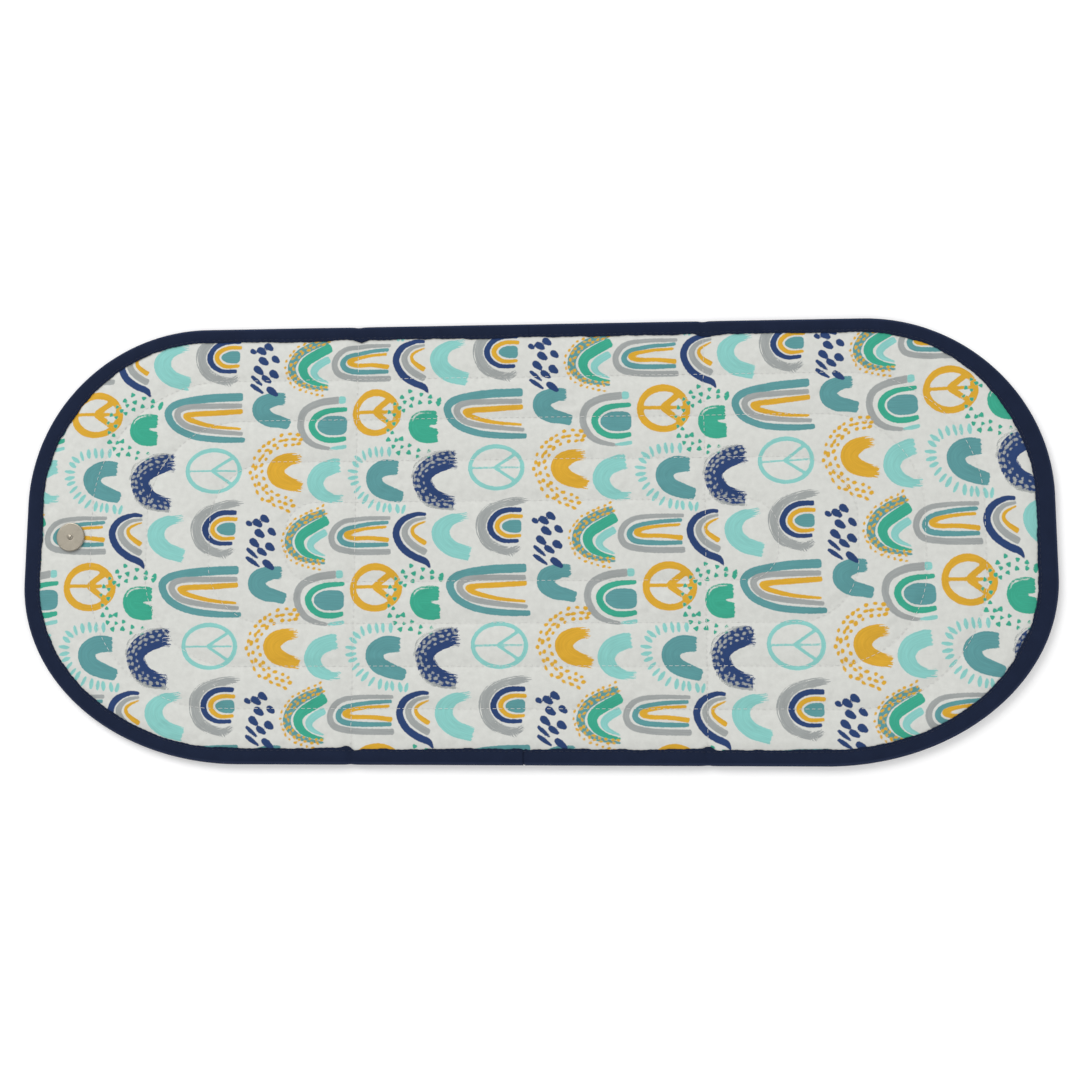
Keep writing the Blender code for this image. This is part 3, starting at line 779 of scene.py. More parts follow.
def paint_row_of_rings(rng):
    """A long arch, a teal arch, a lidded arch, a gold ring, and a green arch with chips round it."""
    print_arch((-25, -31), [
        ("teal", [(23.5, 13.5, 5.6), (1.0, 12.7, 5.7), (-16.0, 10.2, 5.3), (-23.3, 7.3, 5.0),
                  (-25.8, 2.5, 4.9), (-22.8, -4.5, 4.7), (-16.3, -9.5, 4.6), (-5.5, -13.3, 4.4),
                  (9.5, -15.1, 4.2), (25.5, -15.5, 3.4)]),
        ("grey", [(23.0, 7.5, 3.2), (1.0, 7.5, 3.7), (-12.0, 7.0, 3.8), (-18.3, 5.0, 4.1),
                  (-19.7, 1.0, 4.2), (-16.7, -3.5, 4.1), (-10.5, -6.7, 3.8), (4.5, -9.4, 3.4),
                  (24.0, -11.4, 2.6)]),
        ("gold", [(23.5, 3.8, 3.3), (4.5, 2.8, 3.7), (-12.0, 1.8, 3.6), (-14.0, 0.2, 3.4),
                  (-9.5, -2.4, 3.2), (4.5, -6.0, 2.6), (22.5, -8.0, 1.7)]),
    ])
    brush_stroke("teal", (15, -26), [
        (12.0, 6.5, 8.0), (4.0, 6.3, 9.4), (-3.5, 3.0, 11.0), (-4.0, -2.5, 11.2), (1.5, -6.9, 9.8),
        (8.0, -8.6, 8.2), (14.8, -10.6, 7.0),
    ], tip=0.3, dry=(0.15, 0.0, 0.0), ragged=0.3)
    lidded = (46, -36)
    print_arch(lidded, [
        ("grey", [(17.5, 15.2, 5.0), (4.0, 13.5, 4.9), (-6.0, 8.5, 4.7), (-9.0, 0.0, 4.5),
                  (-6.0, -9.0, 4.4), (0.5, -14.5, 3.6), (10.0, -17.0, 2.4), (16.0, -17.0, 2.0)]),
        ("green", [(22.5, 9.0, 2.8), (10.0, 8.1, 3.6), (2.2, 5.0, 4.2), (-1.4, -0.5, 4.5),
                   (1.0, -6.8, 4.3), (7.0, -10.8, 3.9), (15.0, -11.5, 3.8), (22.2, -10.4, 3.0)]),
        ("teal", [(22.4, -1.7, 11.4), (16.0, -1.7, 13.2), (9.0, -1.6, 12.6), (4.6, -1.4, 8.4),
                  (2.4, -1.3, 4.4)]),
        ("mint", [(16.6, 15.1, 5.4), (21.4, 15.2, 4.8)]),
        ("mint", [(11.0, -17.0, 1.2), (17.0, -16.6, 2.6), (22.5, -15.8, 2.4)]),
    ])
    print_spoked_ring("gold", (89.4, -30.0), (15.1, 13.5), 4.5, (-1.0, 0.6), [
        (-13.4, 0.8, 2.3), (13.9, 0.3, 2.3), (10.5, 9.1, 4.0), (10.6, -7.8, 3.8),
    ])
    blob = (-65, -39.2)
    brush_stroke("green", blob, [
        (7.6, 5.4, 9.0), (2.0, 5.3, 10.6), (-3.6, 3.8, 10.8), (-5.2, -0.8, 10.4), (-2.6, -5.0, 10.8),
        (3.0, -6.2, 10.8), (8.0, -6.4, 9.4),
    ], tip=0.3, ragged=0.4, dry=(0.06, 0.0, 0.06))
    brush_stroke("green", blob, [(-3.0, 0.0, 8.0), (2.6, -0.2, 3.0)])
    brush_stroke("ground", blob, [(2.0, 0.2, 0.6), (6.0, 0.3, 1.1), (10.5, 0.4, 1.8)])
    brush_stroke("ground", blob, [(-8.4, 3.0, 0.5), (-6.2, 6.9, 0.9), (-1.4, 8.8, 0.8), (4.0, 9.0, 0.5)])
    for radius, first, last in ((16.4, 60, 150), (20.4, 62, 284), (24.2, 112, 236), (16.4, 210, 282)):
        angle = float(first)
        while angle < last:
            away = radius + rng.uniform(-0.8, 0.8)
            place = (away * math.cos(math.radians(angle)), away * math.sin(math.radians(angle)))
            chip("green", blob, place, rng.uniform(2.4, 3.2), rng.uniform(0, 120))
            angle += math.degrees(5.9 / radius) * rng.uniform(0.88, 1.12)


def paint_row_of_wide_arches(rng):
    """Arches with rays, with speckles and with dots round them, a mint ring and a mint arch."""
    rayed = (86.8, -74)
    brush_stroke("teal", rayed, [
        (18.3, 7.2, 10.0), (9.0, 7.3, 11.2), (2.8, 3.8, 11.2), (1.8, -1.0, 11.4), (5.0, -6.2, 10.8),
        (12.5, -9.7, 9.6), (21.0, -12.2, 7.2),
    ], tip=0.25, ragged=0.35, dry=(0.1, 0.0, 0.0))
    rays = smooth_line([
        (12.5, 18.0, 1), (2.0, 18.0, 1), (-8.5, 15.0, 1), (-13.5, 5.0, 1), (-10.5, -6.5, 1),
        (-1.0, -15.5, 1), (10.0, -18.8, 1), (22.0, -19.8, 1),
    ])
    for place, heading in beside_line(rays, 0.0, 4.5, 0.3, rng):
        length = rng.uniform(6.4, 8.0)
        slant = math.radians(heading + 90 + rng.uniform(-14, 14))
        reach = np.array([math.cos(slant), math.sin(slant)]) * length / 2
        brush_stroke("mint", rayed, [
            (*(place - reach), 1.3), (*place, rng.uniform(2.2, 3.0)), (*(place + reach), 1.1)])
    speckled = (-58.4, -74)
    navy_arch = [
        (13.0, 12.4, 12.6), (5.0, 11.4, 12.6), (-4.5, 7.0, 12.4), (-8.6, -0.5, 11.8),
        (-5.5, -8.8, 12.4), (2.0, -13.8, 10.4), (11.6, -15.3, 8.0),
    ]
    brush_stroke("grey", speckled, [(9.0, 18.6, 1.4), (-4.0, 16.2, 1.8), (-13.0, 9.0, 1.6),
                                    (-15.2, 0.0, 1.6)], dry=(1.0, 0.9, 1.0))
    brush_stroke("grey", speckled, [(-12.0, -11.0, 1.6), (-4.0, -17.8, 2.2), (12.5, -20.3, 1.4)],
                 dry=(0.9, 0.6, 1.0))
    brush_stroke("navy", speckled, navy_arch, tip=0.15, dry=(0.55, 0.12, 0.6), ragged=0.9)
    for offset, size, inset in ((-5.0, 2.2, 4.0), (-2.4, 2.6, 2.0), (0.4, 2.0, 8.0)):
        for place, heading in beside_line(smooth_line(navy_arch), offset, 4.1, 0.5, rng, (inset, 2.0)):
            spot("grey", speckled, place, (size * rng.uniform(1.1, 1.5), size * 0.78),
                 heading + rng.uniform(-25, 25))
    print_spoked_ring("mint", (-19.8, -66.9), (17.0, 13.8), 2.7, (-1.2, 0.0), [
        (-15.6, -0.2, 1.3), (15.0, 0.0, 1.2), (12.7, 9.0, 2.0), (12.5, -9.3, 2.0),
    ])
    sunny = (26, -68)
    gold_arch = [
        (12.0, 8.7, 6.4), (4.0, 8.2, 8.6), (-2.5, 5.0, 11.0), (-4.8, 0.5, 11.4), (-2.0, -4.8, 11.0),
        (5.5, -8.4, 8.8), (13.4, -10.0, 7.6),
    ]
    brush_stroke("gold", sunny, gold_arch, tip=0.15, dry=(0.5, 0.0, 0.25), ragged=0.7)
    rim = smooth_line(gold_arch)
    for offset, size, inset in ((-9.4, 2.5, 1.0), (-12.8, 2.8, 0.0), (-16.4, 2.8, 2.0)):
        for place, heading in beside_line(rim, offset, 4.8, 0.8, rng, (inset, inset)):
            spot("gold", sunny, place, (size * rng.uniform(1.0, 1.5), rng.uniform(2.0, 2.7)),
                 heading + rng.uniform(-26, 26))
    brush_stroke("mint", (54.8, -74), [
        (9.3, 9.8, 10.4), (4.0, 9.0, 10.6), (-3.5, 5.6, 11.2), (-7.0, -1.2, 11.0), (-4.0, -7.8, 9.4),
        (2.5, -11.4, 6.8), (11.5, -12.2, 5.8),
    ], tip=0.15, dry=(0.1, 0.0, 0.6), ragged=0.6)


def paint_drops(rng):
    """A shower of slanting navy drops."""
    drops = (
        (-9.2, 12.9, 4.8, 3.1), (-3.5, 13.1, 7.4, 4.2), (1.2, 15.9, 7.0, 4.2), (6.0, 7.3, 6.6, 4.0),
        (-2.0, 6.2, 7.8, 4.4), (-5.4, 0.2, 7.8, 4.3), (5.0, -2.6, 7.2, 4.6), (-6.6, -6.6, 10.5, 2.5),
        (-0.2, -5.8, 7.8, 3.7), (-6.2, -12.2, 11.5, 2.7), (4.2, -14.3, 9.6, 4.2),
    )
    for x, y, length, width in drops:
        slant = math.radians(rng.uniform(-43, -34))
        reach = np.array([math.cos(slant), math.sin(slant)]) * length / 2
        start = np.array([x, y]) - reach
        end = np.array([x, y]) + reach
        middle = np.array([x, y]) - reach * 0.12
        brush_stroke("navy", (13.8, 0), [
            (*start, width * 0.74), (*middle, width * 1.12), (*end, width * 0.5)], tip=0.7)


paint_repeat()

PRINT_SHEAR = 0.02
PRINT_PULLS = (
    ((265.0, 100.0), (100.0, 75.0), (-5.0, 0.0)),
    ((300.0, 90.0), (105.0, 85.0), (0.0, 9.5)),
    ((185.0, -115.0), (60.0, 50.0), (0.0, -3.5)),
    ((-290.0, 10.0), (50.0, 120.0), (-3.6, 2.8)),
    ((-200.0, -125.0), (70.0, 35.0), (2.5, 0.0)),
    ((-90.0, 0.0), (28.0, 150.0), (-2.2, 0.5)),
    ((50.0, 0.0), (110.0, 200.0), (0.0, -0.7)),
)


def print_place(x, y):
    """Where on the printed cloth a place on the pad is, in millimetres.

    The cloth was sewn a little askew: it leans past the left fold, and each pull in the list
    (middle, reach and shift) draws it some way round one place."""
    drawn_x = x + PRINT_SHEAR * y * smoothstep(-118.0, -90.0, x)
    drawn_y = y
    for (middle_x, middle_y), (reach_x, reach_y), (shift_x, shift_y) in PRINT_PULLS:
        share = np.exp(-((x - middle_x) / reach_x) ** 2 - ((y - middle_y) / reach_y) ** 2)
        drawn_x = drawn_x - share * shift_x
        drawn_y = drawn_y - share * shift_y
    turned_x = drawn_x * math.cos(PRINT_TURN) + drawn_y * math.sin(PRINT_TURN)
    turned_y = drawn_y * math.cos(PRINT_TURN) - drawn_x * math.sin(PRINT_TURN)
    return turned_x, turned_y


def sample_repeat(values, x, y):
    """One repeat of the print, read anywhere on the cloth by bilinear interpolation."""
    gx = (x / REPEAT[0] % 1.0) * TILE_SIZE[0]
    gy = (y / REPEAT[1] % 1.0) * TILE_SIZE[1]
    ix = np.floor(gx).astype(int)
    iy = np.floor(gy).astype(int)
    fx = gx - ix
    fy = gy - iy
    ix, iy = ix % TILE_SIZE[0], iy % TILE_SIZE[1]
    jx, jy = (ix + 1) % TILE_SIZE[0], (iy + 1) % TILE_SIZE[1]
    return mix_cells(values, ix, iy, jx, jy, fx, fy)


# ---------------------------------------------------------------- materials

class Shading:
    """A material's node tree, with short ways to add nodes to it."""

    def __init__(self, name):
        """Start a material and its shader."""
        self.material = bpy.data.materials.new(name)
        self.material.use_nodes = True
        self.tree = self.material.node_tree
        self.shader = self.tree.nodes["Principled BSDF"]

    def put(self, socket, value):
        """Join a socket to another one, or give it a plain value."""
        if isinstance(value, bpy.types.NodeSocket):
            self.tree.links.new(value, socket)
        else:
            socket.default_value = value

    def node(self, kind, inputs=None, **settings):
        """Add a node with its settings, and with values or sockets for its inputs."""
        made = self.tree.nodes.new(kind)
        for name, value in settings.items():
            setattr(made, name, value)
        for name, value in (inputs or {}).items():
            self.put(made.inputs[name], value)
        return made

    def math(self, operation, a, b, clamp=False):
        """One operation on two values."""
        made = self.node("ShaderNodeMath", {0: a, 1: b}, operation=operation, use_clamp=clamp)
        return made.outputs[0]

    def times(self, a, b):
        """Two values multiplied."""
        return self.math("MULTIPLY", a, b)

    def plus(self, a, b, clamp=False):
        """Two values added."""
        return self.math("ADD", a, b, clamp)

    def attribute(self, name, output="Vector"):
        """What the mesh stores for each point under a name."""
        return self.node("ShaderNodeAttribute", attribute_name=name).outputs[output]

    def scaled(self, vector, scale):
        """A colour made lighter or darker."""
        made = self.node("ShaderNodeVectorMath", {0: vector, 1: scale}, operation="MULTIPLY")
        return made.outputs[0]

    def noise(self, vector, scale, detail=2.0, roughness=0.5):
        """Noise, mostly from 0.3 to 0.7."""
        made = self.node("ShaderNodeTexNoise", {
            "Vector": vector, "Scale": scale, "Detail": detail, "Roughness": roughness})
        return made.outputs["Fac"]

    def mix(self, amount, a, b):
        """The first colour at 0 and the second at 1."""
        made = self.node("ShaderNodeMix", data_type="RGBA")
        self.put(made.inputs["Factor"], amount)
        self.put(made.inputs[6], a)
        self.put(made.inputs[7], b)
        return made.outputs[2]

    def spread(self, value, low, high):
        """Noise spread between two numbers."""
        made = self.node("ShaderNodeMapRange", {
            "Value": value, "From Min": 0.3, "From Max": 0.7, "To Min": low, "To Max": high})
        return made.outputs[0]

    def bump(self, height, strength, distance):
        """A normal from a height of 0 to 1 that stands for so many metres."""
        made = self.node("ShaderNodeBump", {
            "Height": height, "Strength": strength, "Distance": distance})
        return made.outputs[0]

    def finish(self, **inputs):
        """Set the shader's inputs and return the material."""
        for name, value in inputs.items():
            self.put(self.shader.inputs[name.replace("_", " ")], value)
        return self.material


def linear(red, green, blue):
    """A screen colour from 0 to 255 as the linear colour that a shader takes."""
    return tuple(((channel / 255 + 0.055) / 1.055) ** 2.4 for channel in (red, green, blue))


# How much brighter than its own colour cloth looks in this light
CLOTH_LIGHT = 1.05


def cloth_colour(red, green, blue):
    """The cloth colour that looks like a screen colour under this scene's light."""
    return tuple(channel / CLOTH_LIGHT for channel in linear(red, green, blue))


INK_COLOURS = {
    "teal": cloth_colour(90, 148, 151),
    "mint": cloth_colour(135, 198, 192),
    "green": cloth_colour(59, 163, 136),
    "gold": cloth_colour(212, 163, 50),
    "grey": cloth_colour(156, 160, 159),
    "navy": cloth_colour(41, 64, 110),
}
GROUND_COLOUR = cloth_colour(211, 212, 207)
BINDING_COLOUR = cloth_colour(27, 36, 58)
BACKING_COLOUR = cloth_colour(33, 41, 68)


def weave(shading, flat, threads_per_mm, twill=False):
    """A woven height field over the flat cloth, from 0 to 1."""
    turned = flat
    if twill:
        turned = shading.node("ShaderNodeVectorRotate", {"Vector": flat, "Angle": math.radians(63)},
                              rotation_type="Z_AXIS").outputs[0]
    waves = []
    for direction in ("X", "Y"):
        waves.append(shading.node("ShaderNodeTexWave", {
            "Vector": turned, "Scale": threads_per_mm * 0.5, "Distortion": 0.8,
            "Detail": 1.0, "Detail Scale": 1.0}, bands_direction=direction).outputs["Fac"])
    if twill:
        return shading.plus(shading.times(waves[0], 0.75), shading.times(waves[1], 0.25))
    return shading.times(*waves)


def printed_cotton():
    """Plain-woven cotton with the print's six inks over its ground.

    Each ink's stored depth says how far inside a mark a point is. Noise roughens the marks' edges,
    and streaks along the brush leave bare lines where a stroke was dry."""
    shading = Shading("printed_cotton")
    flat = shading.attribute("flat_mm")
    edge = shading.times(shading.math("SUBTRACT", shading.noise(flat, 0.55, 3.0, 0.6), 0.5), 0.85)
    brush = shading.node("ShaderNodeSeparateXYZ", {0: shading.attribute("brush")})
    along, across, dryness = brush.outputs
    bristles = shading.node("ShaderNodeCombineXYZ", {
        0: shading.times(along, 0.09), 1: shading.times(across, 1.35)}).outputs[0]
    streaks = shading.noise(bristles, 1.0, 3.0, 0.62)
    gaps = shading.math("MAXIMUM", shading.math("SUBTRACT", streaks, 0.47), 0.0)
    bare = shading.times(dryness, shading.times(gaps, 42.0))
    shift = shading.math("SUBTRACT", edge, bare)
    mottle = shading.spread(shading.noise(flat, 0.25, 4.0, 0.6), 0.955, 1.045)
    soft = shading.spread(shading.noise(bristles, 0.8, 2.0), 0.92, 1.07)
    colour = shading.scaled(GROUND_COLOUR, mottle)
    for attribute, names in PRINT_LAYERS.items():
        depths = shading.node("ShaderNodeSeparateXYZ", {0: shading.attribute(attribute)})
        for output, name in enumerate(names):
            depth = shading.plus(depths.outputs[output], shift)
            mask = shading.plus(shading.times(depth, 2.6), 0.5, clamp=True)
            colour = shading.mix(mask, colour, shading.scaled(INK_COLOURS[name], soft))
    threads = weave(shading, flat, 2.6)
    slubs = shading.noise(flat, 1.6, 3.0, 0.6)
    colour = shading.scaled(colour, shading.spread(threads, 0.985, 1.01))
    height = shading.plus(shading.times(threads, 0.55), shading.times(slubs, 0.45))
    return shading.finish(
        Base_Color=colour, Roughness=shading.spread(slubs, 0.80, 0.92),
        Normal=shading.bump(height, 0.35, 0.00012),
        Sheen_Weight=0.04, Sheen_Roughness=0.5, Specular_IOR_Level=0.18)


def navy_cloth(name, colour, threads_per_mm, twill, painted_highlight):
    """Plain navy cloth, patchy, with a painted highlight that makes it a little paler where a stored
    value asks for it.
    """
    shading = Shading(name)
    flat = shading.attribute("flat_mm")
    threads = weave(shading, flat, threads_per_mm, twill)
    fibres = shading.noise(flat, 2.2, 4.0, 0.65)
    patches = shading.noise(flat, 0.09, 3.0, 0.55)
    tint = shading.times(shading.spread(fibres, 0.84, 1.18), shading.spread(patches, 0.93, 1.08))
    tint = shading.times(tint, shading.spread(threads, 0.92, 1.06))
    # Painted highlight: where the stored value says, the cloth is mixed towards a paler navy.
    highlight_share = shading.times(shading.attribute("painted_highlight", "Fac"), shading.spread(fibres, 0.1, painted_highlight))
    lighter = (*[min(1.0, 2.6 * channel + 0.012) for channel in colour], 1.0)
    height = shading.plus(shading.times(threads, 0.7), shading.times(fibres, 0.3))
    return shading.finish(
        Base_Color=shading.mix(highlight_share, shading.scaled(colour, tint), lighter),
        Roughness=shading.spread(fibres, 0.72, 0.9), Normal=shading.bump(height, 0.5, 0.00018),
        Sheen_Weight=0.01, Sheen_Roughness=0.4, Specular_IOR_Level=0.08)


def thread_material(name, colour, contrast):
    """Twisted thread: plies run round it at a slant."""
    shading = Shading(name)
    place = shading.attribute("along_thread")
    plies = shading.node("ShaderNodeTexWave", {
        "Vector": place, "Scale": 0.5, "Distortion": 0.6, "Detail": 1.0},
        bands_direction="DIAGONAL").outputs["Fac"]
    fuzz = shading.noise(place, 3.0, 3.0, 0.6)
    tint = shading.times(shading.spread(plies, 1 - contrast, 1 + contrast),
                         shading.spread(fuzz, 0.94, 1.05))
    return shading.finish(
        Base_Color=shading.scaled(colour, tint), Roughness=shading.spread(fuzz, 0.5, 0.7),
        Normal=shading.bump(plies, 0.5, 0.0001), Sheen_Weight=0.05, Specular_IOR_Level=0.2)


def wadding_material():
    """Loose white fibre."""
    shading = Shading("wadding")
    flat = shading.attribute("flat_mm")
    fluff = shading.noise(flat, 0.8, 6.0, 0.7)
    colour = shading.scaled((0.82, 0.82, 0.79), shading.spread(fluff, 0.9, 1.05))
    return shading.finish(Base_Color=colour, Roughness=shading.spread(fluff, 0.9, 1.0),
                          Normal=shading.bump(fluff, 0.8, 0.0006))


def metal(name, colour, rough, ring_pitch, ring_depth):
    """Turned metal: fine rings about the middle of the piece, and soft smudges."""
    shading = Shading(name)
    place = shading.node("ShaderNodeTexCoord").outputs["Object"]
    rings = shading.node("ShaderNodeTexWave", {
        "Vector": place, "Scale": 0.5 / ring_pitch * 0.318, "Distortion": 0.4, "Detail": 2.0,
        "Detail Scale": 3.0}, wave_type="RINGS", rings_direction="Z").outputs["Fac"]
    smudge = shading.noise(place, 320.0, 4.0, 0.6)
    grain = shading.noise(place, 2600.0, 2.0, 0.5)
    tint = shading.times(shading.spread(rings, 0.93, 1.05), shading.spread(smudge, 0.95, 1.04))
    height = shading.plus(shading.times(rings, 0.8), shading.times(grain, 0.2))
    return shading.finish(
        Base_Color=shading.scaled(colour, tint), Metallic=1.0,
        Roughness=shading.spread(smudge, rough - 0.05, rough + 0.06),
        Normal=shading.bump(height, 0.6, ring_depth))


def plain_noise_material(name, colour, rough, scale, metallic=0.0):
    """An even, slightly grainy finish for the parts inside the pad."""
    shading = Shading(name)
    place = shading.node("ShaderNodeTexCoord").outputs["Object"]
    grain = shading.noise(place, scale, 4.0, 0.6)
    return shading.finish(
        Base_Color=shading.scaled(colour, shading.spread(grain, 0.88, 1.08)), Metallic=metallic,
        Roughness=shading.spread(grain, rough - 0.08, rough + 0.08),
        Normal=shading.bump(grain, 0.4, 0.0001))


PRINTED = printed_cotton()
NAVY_BACKING = navy_cloth("navy_backing", BACKING_COLOUR, 2.4, False, 0.2)
NAVY_BINDING = navy_cloth("navy_binding", BINDING_COLOUR, 2.0, True, 0.75)
WHITE_THREAD = thread_material("white_thread", (0.67, 0.67, 0.65), 0.06)
NAVY_THREAD = thread_material("navy_thread", (0.014, 0.021, 0.047), 0.25)
WADDING = wadding_material()
NICKEL = metal("satin_nickel", (0.34, 0.31, 0.255), 0.42, 0.00035, 0.00003)
STEEL = plain_noise_material("stamped_steel", (0.50, 0.50, 0.50), 0.35, 900.0, 1.0)
FERRITE = plain_noise_material("ferrite", (0.035, 0.035, 0.037), 0.65, 1500.0)
INTERFACING = plain_noise_material("interfacing", (0.78, 0.78, 0.75), 0.9, 1800.0)


# ---------------------------------------------------------------- the folds' bodies, and baking each piece's place

FOLD_BODIES = {"right": ("right_panel", "centre_panel"), "left": ("centre_panel", "left_panel")}


def bend(piece, side):
    """Bake a piece's place into its mesh. Its fold's two bodies are looked up but not used, and nothing
    is bent.
    """
    first, second = FOLD_BODIES[side]
    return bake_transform(piece)


# ---------------------------------------------------------------- cloth, backing and wadding

def panel_nodes(layer, side):
    """The CAD nodes of one layer that a half covers: its outer panel and the centre."""
    return [f"{layer}_{side}", f"{layer}_centre"]


def store_flat(mesh, x, y):
    """Keep each point's place on the flat cloth, in millimetres."""
    store(mesh, "flat_mm", "FLOAT_VECTOR", np.column_stack([x, y, np.zeros_like(x)]))


def make_top_cloth(side):
    """The printed face of one half."""
    points, quads, _ = half_grid(side, CELL, CLOTH_INSET)
    x, y = points.T
    made = new_object(f"top_cloth_{side}", np.column_stack([x, y, top_at(x, y)]), quads, PRINTED)
    print_x, print_y = print_place(x, y)
    store_flat(made.data, print_x, print_y)
    for attribute, names in PRINT_LAYERS.items():
        depths = [sample_repeat(INK[name], print_x, print_y) for name in names]
        store(made.data, attribute, "FLOAT_VECTOR", np.column_stack(depths))
    strokes = [sample_repeat(field, print_x, print_y) for field in BRUSH]
    store(made.data, "brush", "FLOAT_VECTOR", np.column_stack(strokes))
    bend(made, side)
    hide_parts(*panel_nodes("top_fabric", side))
    return made


def make_backing(side):
    """The plain navy cloth under one half."""
    points, quads, _ = half_grid(side, CELL * 2, CLOTH_INSET)
    x, y = points.T
    made = new_object(
        f"backing_cloth_{side}", np.column_stack([x, y, back_at(x, y)]), quads[:, ::-1], NAVY_BACKING)
    store_flat(made.data, x, y)
    bend(made, side)
    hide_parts(*panel_nodes("backing", side))
    return made


# The wadding stays inside its cloths by these gaps, and clears the snap's halves
WADDING_INSET = CLOTH_INSET + 1.0
WADDING_TOP_GAP = 0.45
WADDING_GAP = 0.35
WADDING_LOWEST = 1.2
WADDING_THINNEST = 0.12
SNAP_CLEAR_RADIUS = SNAP_PAD_RADIUS + 1.5
WADDING_UNDER_STUD = 3.2
WADDING_OVER_CASE = 5.45


def make_wadding(side):
    """A closed slab between the two cloths, thin over and under the snap's halves."""
    points, quads, rim = half_grid(side, CELL * 2, WADDING_INSET)
    x, y = points.T
    high = top_at(x, y) - WADDING_TOP_GAP
    low = np.maximum(back_at(x, y) + WADDING_GAP, WADDING_LOWEST)
    to_stud = np.hypot(x - STUD_CENTRE[0], y - STUD_CENTRE[1])
    to_case = np.hypot(x - CASE_CENTRE[0], y - CASE_CENTRE[1])
    high = np.where(to_stud < SNAP_CLEAR_RADIUS, WADDING_UNDER_STUD, high)
    low = np.where(to_case < SNAP_CLEAR_RADIUS, WADDING_OVER_CASE, low)
    low = np.minimum(low, top_at(x, y) - WADDING_GAP)
    high = np.maximum(high, low + WADDING_THINNEST)
    count = len(points)
    corners = np.concatenate([np.column_stack([x, y, high]), np.column_stack([x, y, low])])
    walls = np.column_stack([rim[:, 1], rim[:, 0], rim[:, 0] + count, rim[:, 1] + count])
    faces = np.concatenate([quads, quads[:, ::-1] + count, walls])
    made = new_object(f"wadding_{side}", corners, faces, WADDING)
    store(made.data, "flat_mm", "FLOAT_VECTOR", corners)
    bend(made, side)
    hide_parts(*panel_nodes("batting", side))
    return made


# ---------------------------------------------------------------- binding

# How far in from the edge the seam lies, the tape's thickness, and where and how far the left
# half laps over the right one on the front edge
SEAM_INSET = BINDING_WIDTH - 1.3
TAPE = 0.55
JOIN_X = box_mm("binding_front_left")[1][0]
JOIN_LAP = 7.0
BINDING_STEP = 0.95


# Where the seam's stitches lie among the tape section's corners, on its upper and lower side
SEAM_TOP = 4
SEAM_BACK = 20


def binding_profile(walked, x, y):
    """The folded tape's section at each place: rows of (distance in from the edge, height).

    The seam pulls it in between the stitches, and it ripples and thins at the folds."""
    to_fold = fold_distance(x)
    fold_near = np.exp(-(to_fold / 9.0) ** 2)
    pinch = np.exp(-(to_fold / 2.6) ** 2)
    wave = 0.5 + 0.5 * np.cos(2 * math.pi * walked / STITCH_PITCH)
    wander = value_noise(walked, walked * 0, 23.0, 21)
    ripple = value_noise(walked, walked * 0, 6.0, 22)
    scallop = 0.20 * wave + 0.40 * ripple + 0.36 * wander
    spare = binding_spare(x, y)
    inner = BINDING_WIDTH + 0.1 + spare + scallop + fold_near * (1.4 * ripple + 0.3)
    seam = SEAM_INSET + spare + 0.16 * ripple + 0.2 * wander
    notch = 0.35 * pinch
    sag = 0.9 * pinch + 0.22 * fold_near
    top = THICKNESS - 0.10 + 0.07 * wander - sag
    seam_top = 6.25 + 0.25 * (1 - wave) - 0.9 * sag
    lip = 6.62 + 0.12 * ripple - 0.9 * sag
    back = 0.14 + 0.05 * wander + 0.3 * pinch
    seam_back = 0.62 - 0.2 * (1 - wave) + 0.2 * pinch
    ones = np.ones_like(walked)
    outer = [
        (inner, lip - 0.55), (inner - 0.02, lip - 0.18), (inner - 0.35, lip),
        (seam + 0.5, seam_top + 0.12), (seam, seam_top), (seam - 0.6, seam_top + 0.22),
        (seam - 1.8, top - 0.12), (5.2 * ones, top),
        (3.4 * ones, top - 0.05), (2.2 * ones + notch, top - 0.22), (1.35 * ones + notch, top - 0.55),
        (0.62 * ones + notch, top - 1.15), (0.17 * ones + notch, top - 2.0),
        (0.0 * ones + notch, 0.5 * THICKNESS * ones), (0.17 * ones + notch, 1.9 * ones),
        (0.75 * ones + notch, 0.95 * ones), (1.8 * ones + notch, 0.42 * ones), (3.4 * ones, back + 0.08),
        (5.4 * ones, back), (seam - 1.6, back + 0.06), (seam, seam_back), (seam + 0.5, seam_back - 0.14),
        (inner - 0.35, back + 0.16), (inner, back + 0.36), (inner, back + 0.72),
    ]
    hem = [
        (inner - 0.9, back + 0.80), (seam - 1.6, back + TAPE + 0.45), (3.4 * ones, back + TAPE + 0.35),
        (1.7 * ones + notch, 1.35 * ones), (0.95 * ones + notch, 2.2 * ones),
        (0.75 * ones + notch, 0.5 * THICKNESS * ones), (0.95 * ones + notch, top - 2.2),
        (1.8 * ones + notch, top - 1.15), (3.4 * ones, top - TAPE - 0.2), (seam - 1.6, top - TAPE - 0.4),
        (inner - 0.9, lip - TAPE - 0.18),
    ]
    return np.stack([np.stack(point, -1) for point in outer + hem], 1)


